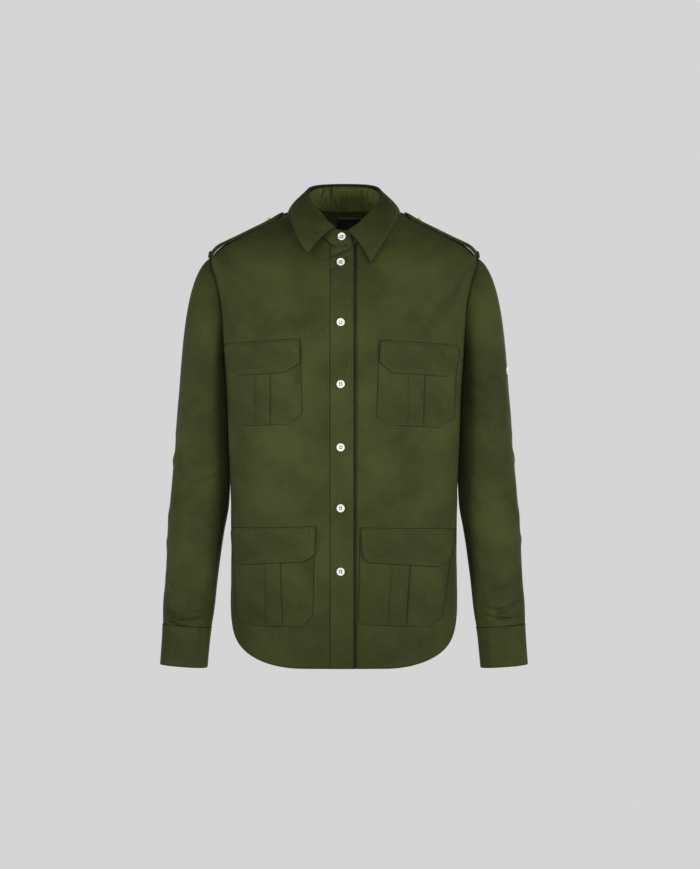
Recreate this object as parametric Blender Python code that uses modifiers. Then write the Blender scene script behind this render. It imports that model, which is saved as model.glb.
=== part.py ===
"""A long-sleeved field shirt in olive cotton twill, buttoned up and filled out as if worn.

It is modelled in millimetres, which become metres when a mesh is made: x to the wearer's left, y to the back, z up,
with z = 0 at the high point of the shoulders and x = y = 0 in the middle of the neck. A shirt is cut flat and takes
its shape from what fills it, so each panel here lies on one rounded form, given by the table FORM. A place on the
form is named by its height and by its girth: the distance round the level from the centre front or the centre back.
"""

import math

import bmesh
import bpy
import numpy as np
from mathutils import Vector
from mathutils.bvhtree import BVHTree

MM = 0.001
WALL = 1.3
SEAM = 0.3

# The form's levels: height, half width, depth in front, depth behind, squareness of the oval
FORM = np.array(
    [
        (-740, 181, 112, 97, 2.5),
        (-640, 181, 113, 95, 2.5),
        (-460, 181, 115, 92, 2.5),
        (-380, 184, 117, 95, 2.5),
        (-300, 187, 119, 101, 2.5),
        (-235, 192, 118, 106, 2.5),
        (-170, 200, 113, 109, 2.5),
        (-112, 209, 103, 104, 2.4),
        (-84, 214, 94, 99, 2.35),
        (-66, 208, 85, 94, 2.25),
        (-57, 199, 80, 91, 2.2),
        (-38, 168, 69, 84, 2.15),
        (-14, 121, 52, 73, 2.1),
        (1, 92, 39, 63.5, 2.05),
        (8, 66, 33, 58, 2.0),
    ],
    float,
)

CHEST_LEVEL = -235
FRONT_HEM = -720
BACK_HEM = -733
SIDE_HEM = -590
HEM_FLAT = 70
HEM_SIDE_GIRTH = 245

NECK_HALF_WIDTH = 70
NECK_FRONT = 82
NECK_BACK = 61
YOKE_FRONT_Y = -24
YOKE_BACK_HEIGHT = -95
SIDE_SEAM_Y = 4

ARMHOLE_TOP = -70
ARMHOLE_BOTTOM = -236
ARMHOLE_FRONT = 44
ARMHOLE_BACK = 58

PLACKET_LEFT = -21
PLACKET_RIGHT = 15.5
PLACKET_WALL = 2.0
PLACKET_PROUD = 0.6
BUTTON_X = -5
BUTTON_HEIGHTS = (-84, -179, -275.5, -374, -469, -568)

# The sleeve's rings: height, distance out to its middle, half width, y of its middle, half depth
SLEEVE = np.array(
    [
        (-722, 254.8, 37.0, -26, 39),
        (-657, 249.5, 38.6, -22, 42),
        (-640, 248.0, 40.0, -20, 45),
        (-580, 243.0, 41.5, -9, 49),
        (-504, 236.3, 45.0, 3, 54),
        (-466, 231.6, 46.8, 12, 57),
        (-436, 229.6, 46.6, 17, 59),
        (-400, 228.0, 45.2, 21, 61),
        (-350, 227.3, 42.6, 23, 64),
        (-300, 226.2, 39.4, 22, 66),
    ],
    float,
)
SLEEVE_POWER = 2.2
SLEEVE_TILT = 0.075
HEAD_END = -300
CUFF_SEAM = -657
CUFF_BOTTOM = -721
CUFF_WALL = 1.8
CUFF_OVERLAP = 30
CUFF_OPENING = 75

STAND_WALL = 1.6
STAND_LAP = 0.19

# The stand's top edge: the turn from the centre front, and its height
STAND_TOP = np.array([(0, -33), (0.2, -30), (0.46, -19), (0.87, -1), (1.57, 27), (2.3, 43), (3.15, 47.5)])
LEAF_WALL = 1.6

BUTTON_RADIUS = 6.3
BUTTON_DEPTH = 2.6
SMALL_BUTTON = 0.9
COLLAR_BUTTON_X = -3.5
COLLAR_BUTTON_HEIGHT = -43
FAR = 400

# The sleeve placket's corners: turn in degrees, 0 outside and -90 behind, and height
SLEEVE_PLACKET = ((-68, -655.0), (-38, -655.0), (-38, -540.0), (-53, -528.0), (-68, -540.0))

# Where each pocket's corners lie on the front, as x and z seen from straight in front
CHEST_RIGHT_FLAP = ((-189, -210), (-68, -204), (-68, -242), (-92, -258), (-163, -261), (-184.5, -243))
CHEST_RIGHT_BAG = ((-189, -222), (-67.5, -217), (-64.5, -321), (-86.5, -339), (-166, -340.5), (-183, -319))
CHEST_RIGHT_PLEAT = ((-137.5, -116), (-137.5, -115.5))
CHEST_LEFT_FLAP = ((56, -206), (181.5, -213), (177.5, -249), (157, -263), (74.5, -258), (54.5, -240))
CHEST_LEFT_BAG = ((54.5, -219), (180, -226), (175.5, -329), (150, -344), (68, -339), (50.5, -326))
CHEST_LEFT_PLEAT = ((103, 126.5), (100.5, 123.5))
LOWER_RIGHT_FLAP = ((-178, -501), (-43.5, -497), (-45, -541), (-61, -553), (-165.5, -559), (-174.5, -552))
LOWER_RIGHT_BAG = ((-178, -514), (-45, -510), (-48, -637), (-65, -655), (-156, -654), (-171, -642))
LOWER_RIGHT_PLEAT = ((-124.5, -102.5), (-121, -96.5))
LOWER_LEFT_FLAP = ((24.5, -499), (175.5, -502), (169, -547), (148.5, -562), (38, -554), (28, -544))
LOWER_LEFT_BAG = ((24.5, -512), (175, -515), (156, -642), (135.5, -656), (27.5, -651), (22.5, -646))
LOWER_LEFT_PLEAT = ((79.5, 105.5), (69.5, 96.5))

POCKET_WALL = 1.2
PLEAT_RISE = 1.0
PLEAT_EDGE = 0.8
FLAP_LIFT = POCKET_WALL + PLEAT_RISE + 2 * SEAM
FLAP_ROLL = 9

# The shoulder strap's path: distance out along the shoulder, height over the shoulder, half width
STRAP = np.array(
    [
        (206, 2.2, 20),
        (211, 3.2, 20),
        (213.5, 5.8, 20),
        (210.5, 8.4, 20),
        (202, 8.2, 19.5),
        (188, 5.6, 19),
        (165, 3.4, 18),
        (138, 2.9, 17),
        (117, 2.7, 16.5),
        (104, 2.6, 15),
        (96, 2.5, 1.2),
    ],
    float,
)
STRAP_WALL = 1.8
STRAP_MIDDLE_Y = -8
STRAP_SAG = 8
STRAP_LIFT = 2.8
STRAP_BUTTON_X = 122
ROLL_TAB_HEIGHT = -252
LABEL_SPAN = (-11.5, 34)
LABEL_HEIGHTS = (-2, -22)
LABEL_WALL = 0.6

OLIVE = (0.062, 0.078, 0.024, 1)
PEARL = (0.72, 0.68, 0.60, 1)
BLACK = (0.006, 0.006, 0.007, 1)


def through(at, places, values):
    """A smooth curve through a table's values: a cubic in each gap, with the neighbours' slope at each place."""
    slopes = np.gradient(values, places)
    gap = np.clip(np.searchsorted(places, at) - 1, 0, len(places) - 2)
    length = places[gap + 1] - places[gap]
    part = np.clip((at - places[gap]) / length, 0, 1)
    rise = values[gap + 1] - values[gap]
    start = slopes[gap] * length
    end = slopes[gap + 1] * length
    return values[gap] + start * part + (3 * rise - 2 * start - end) * part**2 + (start + end - 2 * rise) * part**3


def smooth_step(at, start, end):
    """0 before start, 1 past end, and a soft S between them."""
    part = np.clip((at - start) / (end - start), 0, 1)
    return part * part * (3 - 2 * part)


def level(height):
    """The form's oval at a height: half width, depth in front, depth behind, squareness."""
    height = np.asarray(height, float)
    return [through(height, FORM[:, 0], FORM[:, column]) for column in range(1, 5)]


def fullness(points):
    """1 on the form, less inside it and more outside."""
    half, front, back, power = level(points[..., 2])
    depth = np.where(points[..., 1] < 0, front, back)
    return (np.abs(points[..., 0]) / half) ** power + (np.abs(points[..., 1]) / depth) ** power


def normals(points):
    """The way out of the form at each point: the slope of its fullness."""
    step = 0.5
    slope = [fullness(points + step * axis) - fullness(points - step * axis) for axis in np.eye(3)]
    slope = np.stack(slope, -1)
    return slope / np.linalg.norm(slope, axis=-1, keepdims=True)


def reach(start, direction, most=400.0):
    """Where a line from inside the form comes out of it, found by halving."""
    start, direction = np.broadcast_arrays(np.asarray(start, float), np.asarray(direction, float))
    inner = np.zeros(start.shape[:-1])
    outer = np.full(start.shape[:-1], most)
    for _ in range(40):
        middle = (inner + outer) / 2
        inside = fullness(start + direction * middle[..., None]) < 1
        inner = np.where(inside, middle, inner)
        outer = np.where(inside, outer, middle)
    return start + direction * inner[..., None]


def turn_table(height, behind):
    """Each level's oval from the middle to the side: its turns, its points and the girth to each."""
    half, front, back, power = level(height)
    depth = back if behind else -front
    turns = np.linspace(0, math.pi / 2, 160)
    across = half[..., None] * np.sin(turns) ** (2 / power[..., None])
    along = depth[..., None] * np.cos(turns) ** (2 / power[..., None])
    steps = np.hypot(np.diff(across), np.diff(along))
    girth = np.concatenate([np.zeros(across.shape[:-1] + (1,)), np.cumsum(steps, -1)], -1)
    return turns, across, along, girth


def around(girth, height, behind=False):
    """The point of the form at a girth from the centre line, to either side, and at a height."""
    girth, height = np.broadcast_arrays(np.asarray(girth, float), np.asarray(height, float))
    _, across, along, table = turn_table(height, behind)
    far = np.abs(girth)[..., None]
    after = np.clip((table < far).sum(-1, keepdims=True), 1, table.shape[-1] - 1)
    before_girth = np.take_along_axis(table, after - 1, -1)
    part = (far - before_girth) / (np.take_along_axis(table, after, -1) - before_girth)
    pair = [
        np.take_along_axis(side, after - 1, -1) * (1 - part) + np.take_along_axis(side, after, -1) * part
        for side in (across, along)
    ]
    return np.stack([np.sign(girth) * pair[0][..., 0], pair[1][..., 0], height], -1)


def girth_of(points, behind=False):
    """The girth from the centre line to points that lie on the form."""
    half, front, back, power = level(points[..., 2])
    depth = back if behind else front
    rise = (np.abs(points[..., 0]) / half) ** (power / 2)
    run = (np.abs(points[..., 1]) / depth) ** (power / 2)
    turn = np.arctan2(rise, run)
    turns, _, _, table = turn_table(points[..., 2], behind)
    return np.array([np.interp(one, turns, row) for one, row in zip(turn.ravel(), table.reshape(-1, len(turns)))])


def side_girth(height, behind=False):
    """The girth from the centre line to the side seam at a height."""
    half, front, back, power = level(height)
    y = np.full(np.shape(height), float(SIDE_SEAM_Y))
    if not behind:
        return turn_table(height, False)[3][..., -1] + y
    x = half * (1 - (y / back) ** power) ** (1 / power)
    return girth_of(np.stack([x, y, np.asarray(height, float)], -1), True)


def hem_height(girth, lowest):
    """The shirt-tail hem: level in the middle, then a quarter of an ellipse up to the side."""
    part = np.clip((np.abs(girth) - HEM_FLAT) / (HEM_SIDE_GIRTH - HEM_FLAT), 0, 1)
    return lowest + (SIDE_HEM - lowest) * (1 - np.sqrt(1 - part**2 * 0.985))


def neckline(turn):
    """The neck seam on the form: an oval from above, deeper in front. Turn 0 is the front, pi the back."""
    x = NECK_HALF_WIDTH * np.sin(turn)
    y = -np.cos(turn) * np.where(np.cos(turn) > 0, NECK_FRONT, NECK_BACK)
    return reach(np.stack([x, y, np.full_like(x, -150.0)], -1), (0, 0, 1), 200.0)


def armhole(turn, side):
    """The armhole seam on the form. Turn 0 is the shoulder, pi the underarm, and less than pi the front."""
    z = (ARMHOLE_TOP + ARMHOLE_BOTTOM) / 2 + np.cos(turn) * (ARMHOLE_TOP - ARMHOLE_BOTTOM) / 2
    depth = np.where(np.sin(turn) > 0, -ARMHOLE_FRONT, -ARMHOLE_BACK)
    lean = SIDE_SEAM_Y * (1 - np.cos(turn)) / 2
    y = depth * np.sin(turn) * (1 - 0.12 * np.cos(turn)) + lean
    start = np.stack([np.zeros_like(y), y, z], -1)
    return reach(start, (side, 0, 0))


def drape(points):
    """How far the cloth stands in or out of the form in its largest folds, by place."""
    x, y, z = points[..., 0], points[..., 1], points[..., 2]
    low = smooth_step(-z, 330, 620)
    turn = np.arctan2(x, y)
    back = smooth_step(y, 20, 60)
    tail = 3.2 * np.cos(7.3 * turn + 0.4) + 1.6 * np.cos(12 * turn + z / 90)
    waist = np.exp(-(((z + 470 + 0.25 * x) / 26) ** 2)) - 0.8 * np.exp(-(((z + 545 - 0.18 * x) / 30) ** 2))
    blades = 2.2 * np.exp(-(((np.abs(x) - 118 - 0.22 * z * 0.4) / 22) ** 2)) * smooth_step(-z, 110, 190)
    blades = blades * (1 - smooth_step(-z, 330, 430))
    return back * (low * tail + 1.8 * waist + blades)


def draped(points):
    return points + normals(points) * drape(points)[..., None]


def grid_faces(rows, columns, closed=False):
    """Two triangles for each cell of a grid. Seen from outside, rows go up and columns go to the right."""
    across = columns if closed else columns - 1
    row, column = np.meshgrid(np.arange(rows - 1), np.arange(across), indexing="ij")
    a = (row * columns + column).ravel()
    b = (row * columns + (column + 1) % columns).ravel()
    return np.concatenate([np.stack([a, b, b + columns], -1), np.stack([a, b + columns, a + columns], -1)])


def material(name, colour, roughness):
    made = bpy.data.materials.new(name)
    made.use_nodes = True
    shader = made.node_tree.nodes["Principled BSDF"]
    shader.inputs["Base Color"].default_value = colour
    shader.inputs["Roughness"].default_value = roughness
    return made


def add_mesh(name, points, faces, finish):
    mesh = bpy.data.meshes.new(name)
    mesh.from_pydata((points.reshape(-1, 3) * MM).tolist(), [], faces.tolist())
    mesh.materials.append(finish)
    made = bpy.data.objects.new(name, mesh)
    parts.objects.link(made)
    return made


def add_wall(made, thickness, offset=-1.0):
    wall = made.modifiers.new("wall", "SOLIDIFY")
    wall.thickness = thickness * MM
    wall.offset = offset
    return made


def add_sheet(name, grid, thickness=WALL, closed=False, finish=None):
    """A piece of cloth from a grid of its outer points, with its thickness inside them."""
    rows, columns = grid.shape[:2]
    made = add_mesh(name, grid, grid_faces(rows, columns, closed), finish or cloth)
    return add_wall(made, thickness)


def between(edges, rows, columns):
    """A patch between four edges, each a function of 0 to 1: left and right go up, bottom and top go right."""
    left, right, bottom, top = (edge[:, None] if i < 2 else edge[None] for i, edge in enumerate(edges))
    v = np.asarray(rows)[:, None, None]
    u = np.asarray(columns)[None, :, None]
    sides = left * (1 - u) + right * u
    ends = bottom * (1 - v) + top * v
    corners = (bottom[:, :1] * (1 - u) + bottom[:, -1:] * u) * (1 - v) + (top[:, :1] * (1 - u) + top[:, -1:] * u) * v
    return sides + ends - corners


def seam_end_turn(target, behind):
    """The turn of the armhole where it meets a yoke seam, found by halving."""
    low, high = (math.pi, 2 * math.pi) if behind else (0.0, math.pi / 2)
    for _ in range(40):
        turn = (low + high) / 2
        point = armhole(np.array([turn]), 1)[0]
        before = point[2] < target if behind else point[1] > target
        low, high = (turn, high) if before else (low, turn)
    return turn


def front_domain(side, edge_x):
    """A front panel's places as girth and height, row by row from the hem to the yoke seam."""
    columns = np.linspace(0, 1, 11)
    chest_side = side_girth(np.array([float(CHEST_LEVEL)]))[0] - SEAM / 2
    girth = edge_x + (chest_side - edge_x) * columns
    skirt = []
    for part in np.linspace(0, 1, 15):
        hem = hem_height(girth, FRONT_HEM)
        height = hem + (CHEST_LEVEL - hem) * part
        end = side_girth(height)[-1] - SEAM / 2
        row = edge_x + (end - edge_x) * columns
        skirt.append(np.stack([row, height], -1))
    skirt = np.array(skirt)

    neck_start = math.asin(edge_x / NECK_HALF_WIDTH)
    neck_end = math.acos(-(YOKE_FRONT_Y - SEAM) / NECK_FRONT)
    neck = neckline(np.linspace(neck_start, neck_end, 5))
    centre = np.linspace(CHEST_LEVEL, neck[0, 2], 8)
    left = np.concatenate([np.stack([np.full(8, edge_x), centre], -1), place_of(neck[1:])])
    arm_end = seam_end_turn(YOKE_FRONT_Y - SEAM, False)
    arm = armhole(np.linspace(math.pi, arm_end, len(left)), 1)
    right = place_of(arm)
    right[0] = skirt[-1, -1]
    seam_x = np.linspace(neck[-1, 0], arm[-1, 0], 11)
    start = np.stack([seam_x, np.full(11, YOKE_FRONT_Y - SEAM), np.full(11, -150.0)], -1)
    top = place_of(reach(start, (0, 0, 1), 200.0))
    top[0], top[-1] = left[-1], right[-1]
    upper = between([left, right, skirt[-1], top], np.linspace(0, 1, len(left)), columns)
    domain = np.concatenate([skirt, upper[1:]])
    domain[..., 0] *= side
    return domain


def place_of(points):
    return np.stack([girth_of(points), points[..., 2]], -1)


def make_fronts():
    """The wearer's right front ends at the placket's seam. The left one goes on under the placket."""
    right = front_domain(-1, -PLACKET_LEFT + SEAM)
    right = draped(around(right[..., 0], right[..., 1]))[:, ::-1]
    front_right = add_sheet("front_right", right)

    lap_x = PLACKET_RIGHT + 1.5
    left = front_domain(1, lap_x)
    left = draped(around(left[..., 0], left[..., 1]))
    rows, columns = left.shape[:2]
    sink = PLACKET_WALL - PLACKET_PROUD + SEAM
    lap_columns = np.array([PLACKET_LEFT + 3.0, BUTTON_X, PLACKET_RIGHT - 2])
    lap_rows = 22
    heights = left[:lap_rows, 0, 2].copy()
    lap = np.stack([around(lap_columns, np.full(3, height)) for height in heights])
    lap[-1] = neckline(np.arcsin(lap_columns / NECK_HALF_WIDTH))
    lap = lap - normals(lap) * sink
    left[:lap_rows, 0] -= normals(left[:lap_rows, 0]) * sink
    points = np.concatenate([left.reshape(-1, 3), lap.reshape(-1, 3)])
    lap_index = np.arange(lap_rows * 3).reshape(lap_rows, 3) + rows * columns
    lap_index = np.concatenate([lap_index, (np.arange(lap_rows) * columns)[:, None]], 1)
    local = grid_faces(lap_rows, 4)
    faces = np.concatenate([grid_faces(rows, columns), lap_index.ravel()[local]])
    front_left = add_wall(add_mesh("front_left", points, faces, cloth), WALL)
    return front_right, front_left, heights


def make_placket(heights):
    """The strip down the right front's edge, two cloths thick, which closes over the left front."""
    across = np.linspace(PLACKET_LEFT, PLACKET_RIGHT, 4)
    strip = np.stack([around(across, np.full(4, height)) for height in heights])
    strip[-1] = neckline(np.arcsin(across / NECK_HALF_WIDTH))
    strip = strip + normals(strip) * PLACKET_PROUD
    return add_sheet("placket", strip, PLACKET_WALL)


def make_back():
    columns = np.linspace(-1, 1, 19)
    rows = []
    for part in np.linspace(0, 1, 15):
        chest_side = side_girth(np.array([float(CHEST_LEVEL)]), True)[0] - SEAM / 2
        hem = hem_height(np.abs(columns) * chest_side, BACK_HEM)
        height = hem + (CHEST_LEVEL - hem) * part
        end = side_girth(height[-1:], True)[0] - SEAM / 2
        rows.append(np.stack([columns * end, height], -1))
    arm_end = seam_end_turn(YOKE_BACK_HEIGHT, True)
    arm = armhole(np.linspace(math.pi, arm_end, 7)[1:], 1)
    for point, end in zip(arm, girth_of(arm, True)):
        rows.append(np.stack([columns * end, np.full(19, point[2])], -1))
    domain = np.array(rows)
    grid = draped(around(domain[..., 0], domain[..., 1], True))[:, ::-1]
    return add_sheet("back", grid)


def make_yoke():
    """One piece over both shoulders, from the back seam to the front seams and the neck."""
    half = 10
    neck_half = 6
    neck_end = math.acos(-(YOKE_FRONT_Y + SEAM) / NECK_FRONT)
    neck = neckline(np.linspace(neck_end, 2 * math.pi - neck_end, 2 * neck_half + 1))
    front_turn = seam_end_turn(YOKE_FRONT_Y + SEAM, False)
    back_turn = seam_end_turn(YOKE_BACK_HEIGHT + 2 * SEAM, True)
    arm = armhole(np.linspace(back_turn - 2 * math.pi, front_turn, 10), 1)
    part = np.linspace(0, 1, half + 1)[1:]
    seam_x = neck[0, 0] + (arm[-1, 0] - neck[0, 0]) * part
    start = np.stack([seam_x, np.full(half, YOKE_FRONT_Y + SEAM), np.full(half, -150.0)], -1)
    seam = reach(start, (0, 0, 1), 200.0)
    seam[-1] = arm[-1]
    mirror = np.array([-1, 1, 1])
    top = np.concatenate([seam[::-1], neck, seam * mirror])
    far = girth_of(arm[:1], True)[0]
    bottom = around(np.linspace(far, -far, len(top)), np.full(len(top), arm[0, 2]), True)
    rows = np.linspace(0, 1, len(arm))
    columns = np.linspace(0, 1, len(top))
    patch = between([arm, arm * mirror, bottom, top], rows, columns)
    start = patch * np.array([0.8, 0, 0]) + np.array([0, 0, -110])
    away = patch - start
    grid = reach(start, away / np.linalg.norm(away, axis=-1, keepdims=True))
    grid[0], grid[-1], grid[:, 0], grid[:, -1] = bottom, top, arm, arm * mirror
    return add_sheet("yoke", grid)


def sleeve_ring(turn, height, side, out=0.0):
    """A ring of the sleeve: an oval, tilted square to the arm. Turn 0 is its outer side, pi/2 the front."""
    turn, height = np.broadcast_arrays(np.asarray(turn, float), np.asarray(height, float))
    middle, half, back, depth = [through(height, SLEEVE[:, 0], SLEEVE[:, column]) for column in range(1, 5)]
    power = 2 / SLEEVE_POWER
    across = np.sign(np.cos(turn)) * np.abs(np.cos(turn)) ** power * (half + out)
    along = np.sign(np.sin(turn)) * np.abs(np.sin(turn)) ** power * (depth + out)
    return np.stack([side * (middle + across), back - along, height + SLEEVE_TILT * across], -1)


def sleeve_fold(turn, height):
    """The elbow's and the wrist's largest folds: slanting ridges that fade round the arm."""
    front = np.sin(turn)
    elbow = np.exp(-(((height + 455 + 30 * np.cos(turn)) / 15) ** 2)) * (0.5 + 0.5 * front)
    above = np.exp(-(((height + 405 - 24 * np.cos(turn)) / 17) ** 2)) * (0.5 - 0.4 * front)
    wrist = np.exp(-(((height + 610 + 14 * np.sin(turn + 0.6)) / 13) ** 2))
    calm = 1 - 0.9 * smooth_step(-np.cos(turn), 0.2, 0.7)
    return calm * (2.6 * elbow - 2.2 * above + 2.4 * wrist)


def sleeve_grid(side, turns, head_parts, heights):
    """The sleeve from the armhole seam: its head curves out of the seam, and rings carry it to the cuff."""
    seam = armhole(turns, side)
    lift = np.stack([side * np.ones_like(turns), np.zeros_like(turns), np.zeros_like(turns)], -1)
    seam = seam + lift * 3.5 * SEAM
    ring = sleeve_ring(turns, HEAD_END, side)
    top = (1 + np.cos(turns)) / 2
    leave = np.stack(
        [side * (0.04 + 0.87 * top), -0.30 * np.sin(turns), -0.95 + 0.53 * top], -1
    )
    leave = leave / np.linalg.norm(leave, axis=-1, keepdims=True) * (1 - 0.39 * top[:, None])
    below = sleeve_ring(turns, HEAD_END - 2.0, side)
    arrive = (below - ring) / np.linalg.norm(below - ring, axis=-1, keepdims=True)
    span = np.linalg.norm(ring - seam, axis=-1, keepdims=True)
    rows = []
    for part in head_parts:
        a = 2 * part**3 - 3 * part**2 + 1
        b = part**3 - 2 * part**2 + part
        c = -2 * part**3 + 3 * part**2
        d = part**3 - part**2
        rows.append(a * seam + b * span * leave + c * ring + d * span * arrive)
    for height in heights:
        rows.append(sleeve_ring(turns, height, side, sleeve_fold(turns, height)))
    return np.array(rows)[::-1]


def make_sleeve(name, side):
    turns = np.linspace(0, 2 * math.pi, 20, endpoint=False)
    heights = np.linspace(HEAD_END, CUFF_SEAM + SEAM, 14)[1:]
    grid = sleeve_grid(side, turns, np.linspace(0, 1, 7), heights)
    if side > 0:
        grid = grid[:, ::-1]
    return add_sheet(name, grid, closed=True)


def make_cuff(name, side):
    """A band round the wrist whose end laps over its start, behind and outside."""
    start = math.radians(-CUFF_OPENING)
    lap = math.radians(CUFF_OVERLAP)
    turns = start + np.linspace(0, 2 * math.pi + lap, 27)
    lift = (CUFF_WALL + SEAM) * smooth_step(turns, start + 2 * math.pi - 1.1, start + 2 * math.pi - 0.25)
    heights = np.linspace(CUFF_BOTTOM, CUFF_SEAM - SEAM, 4)
    grid = np.array([sleeve_ring(turns, height, side, 0.6 + lift) for height in heights])
    if side > 0:
        grid = grid[:, ::-1]
    return add_sheet(name, grid, CUFF_WALL)


def roll_line(part):
    """The collar's top fold, from the wearer's right end (part -1) round the back (0) to the left end (1)."""
    stops = np.array([-1, -0.86, -0.68, -0.42, -0.2, 0, 0.2, 0.42, 0.68, 0.86, 1])
    x = np.array([-12.5, -27, -46, -61.5, -50, 0, 50, 62.5, 49, 28, 4.5])
    y = np.array([-77.5, -68, -46, 3, 47, 60, 47, 3, -46, -68, -79.5])
    z = np.array([-27, -15, 3, 30, 47, 51, 47, 28, 3, -16, -33])
    return np.stack([through(part, stops, values.astype(float)) for values in (x, y, z)], -1)


def leaf_edge(part):
    """The collar leaf's outer edge, from the right point round the back to the left point."""
    stops = np.array([-1, -0.86, -0.68, -0.42, -0.2, 0, 0.2, 0.42, 0.68, 0.86, 1])
    x = np.array([-56, -71, -84.5, -86, -60, 0, 60, 87, 82, 62, 41.5])
    y = np.array([-94, -82, -50, 6, 57, 72.5, 57, 6, -54, -84, -97])
    z = np.array([-72, -50, -17, 7.5, 4, -3, 4, 7.5, -20, -54, -86])
    return np.stack([through(part, stops, values.astype(float)) for values in (x, y, z)], -1)


def make_collar():
    """The stand rises from the neck seam to the fold, and the leaf falls from it over the yoke and the fronts."""
    across = np.linspace(-1, 1, 35)
    turn = math.pi - across * (math.pi + STAND_LAP)
    low = neckline(turn) + np.array([0, 0, 3.5 * SEAM])
    round_front = np.abs((turn + math.pi) % (2 * math.pi) - math.pi)
    squeeze = np.where(np.cos(turn) > 0, 0.9, 0.95)
    top = through(round_front, STAND_TOP[:, 0], STAND_TOP[:, 1])
    high = np.stack([low[:, 0] * 0.83, low[:, 1] * squeeze, top], -1)
    lap = (smooth_step(-across, 0.8, 0.9) - smooth_step(across, 0.8, 0.9)) * (STAND_WALL + SEAM + 0.1) / 2
    stand = np.array([low * (1 - part) + high * part for part in (0, 0.33, 0.67, 1)])
    stand[..., 1] -= lap
    collar_stand = add_sheet("collar_stand", stand[:, ::-1], STAND_WALL)

    columns = np.linspace(-1, 1, 33)
    start = roll_line(columns)
    end = leaf_edge(columns)
    out = (end - start) * np.array([1, 1, 0])
    out = out / np.linalg.norm(out, axis=-1, keepdims=True)
    bulge = 0.5 * (start + end) + out * 5 + np.array([0, 0, 1]) * 7
    rows = [(1 - t) ** 2 * start + 2 * t * (1 - t) * bulge + t**2 * end for t in (1, 0.8, 0.6, 0.4, 0.2, 0.08, 0)]
    add_sheet("collar_leaf", np.array(rows)[:, ::-1], LEAF_WALL)
    return collar_stand


def front_point(x, z):
    """The point of the form's front that is seen at x and z from straight in front."""
    half, front, _, power = level(z)
    share = min(abs(x) / half, 0.992)
    point = np.array([math.copysign(share * half, x), -front * (1 - share**power) ** (1 / power), z])
    return draped(point)


def cut_from(panel, corners, inner_lines=()):
    """A copy of the panel's outer surface inside an outline, also split along any inner lines."""
    form = bmesh.new()
    form.from_mesh(panel.data)
    tree = BVHTree.FromBMesh(form)
    corners = [Vector(corner) * MM for corner in corners]
    middle = sum(corners, Vector()) / len(corners)
    edges = [(a, b, True) for a, b in zip(corners, corners[1:] + corners[:1])]
    edges += [(Vector(a) * MM, Vector(b) * MM, False) for a, b in inner_lines]
    for a, b, outline in edges:
        facing = tree.find_nearest((a + b) / 2)[1]
        plane = (b - a).cross(facing).normalized()
        if plane.dot(middle - a) > 0:
            plane = -plane
        everything = form.verts[:] + form.edges[:] + form.faces[:]
        bmesh.ops.bisect_plane(form, geom=everything, plane_co=a, plane_no=plane, clear_outer=outline)
    bmesh.ops.triangulate(form, faces=form.faces[:])
    form.normal_update()
    return form


def add_patch(name, form, lift, wall, offset=1.0, finish=None):
    """A piece that lies on a panel, from the panel's own points moved out by lift, a function of the point."""
    moves = [vertex.normal * lift(vertex.co / MM) * MM for vertex in form.verts]
    for vertex, move in zip(form.verts, moves):
        vertex.co += move
    mesh = bpy.data.meshes.new(name)
    form.to_mesh(mesh)
    form.free()
    mesh.materials.append(finish or cloth)
    made = bpy.data.objects.new(name, mesh)
    parts.objects.link(made)
    return add_wall(made, wall, offset)


def add_pocket(name, panel, outline, pleat):
    """A patch pocket whose box pleat stands proud of it, over a plain inside."""
    lines = []
    for place in (0, 1):
        for step in (-PLEAT_EDGE / 2, PLEAT_EDGE / 2):
            ends = (pleat[0][place] + step, outline[0][1]), (pleat[1][place] + step, outline[3][1])
            lines.append([front_point(*end) for end in ends])
    form = cut_from(panel, [front_point(*corner) for corner in outline], lines)

    def pleated(point):
        part = (outline[0][1] - point.z) / (outline[0][1] - outline[3][1])
        left, right = [pleat[0][place] + (pleat[1][place] - pleat[0][place]) * part for place in (0, 1)]
        return left < point.x < right

    raised = [pleated(vertex.co / MM) for vertex in form.verts]
    made = add_patch(name, form, lambda point: SEAM, POCKET_WALL + PLEAT_RISE)
    group = made.vertex_groups.new(name="thickness")
    plain = POCKET_WALL / (POCKET_WALL + PLEAT_RISE)
    for index, high in enumerate(raised):
        group.add([index], 1.0 if high else plain, "REPLACE")
    made.modifiers["wall"].vertex_group = group.name
    return made


def add_flap(name, panel, outline):
    """A flap sewn on above the pocket's mouth, which rolls out over the pocket and its pleat."""
    left, right = outline[0], outline[1]
    roll = [front_point(x, z - FLAP_ROLL) for x, z in (left, right)]
    form = cut_from(panel, [front_point(*corner) for corner in outline], [roll])

    def lift(point):
        seam = left[1] + (right[1] - left[1]) * (point.x - left[0]) / (right[0] - left[0])
        return SEAM + (FLAP_LIFT - SEAM) * smooth_step(seam - point.z, 0, FLAP_ROLL)

    return add_patch(name, form, lift, POCKET_WALL)


def make_pockets():
    for name, panel, flap, bag, pleat in (
        ("chest_pocket_right", front_right, CHEST_RIGHT_FLAP, CHEST_RIGHT_BAG, CHEST_RIGHT_PLEAT),
        ("chest_pocket_left", front_left, CHEST_LEFT_FLAP, CHEST_LEFT_BAG, CHEST_LEFT_PLEAT),
        ("lower_pocket_right", front_right, LOWER_RIGHT_FLAP, LOWER_RIGHT_BAG, LOWER_RIGHT_PLEAT),
        ("lower_pocket_left", front_left, LOWER_LEFT_FLAP, LOWER_LEFT_BAG, LOWER_LEFT_PLEAT),
    ):
        add_pocket(name, panel, bag, pleat)
        add_flap(name.replace("pocket", "flap"), panel, flap)


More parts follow.
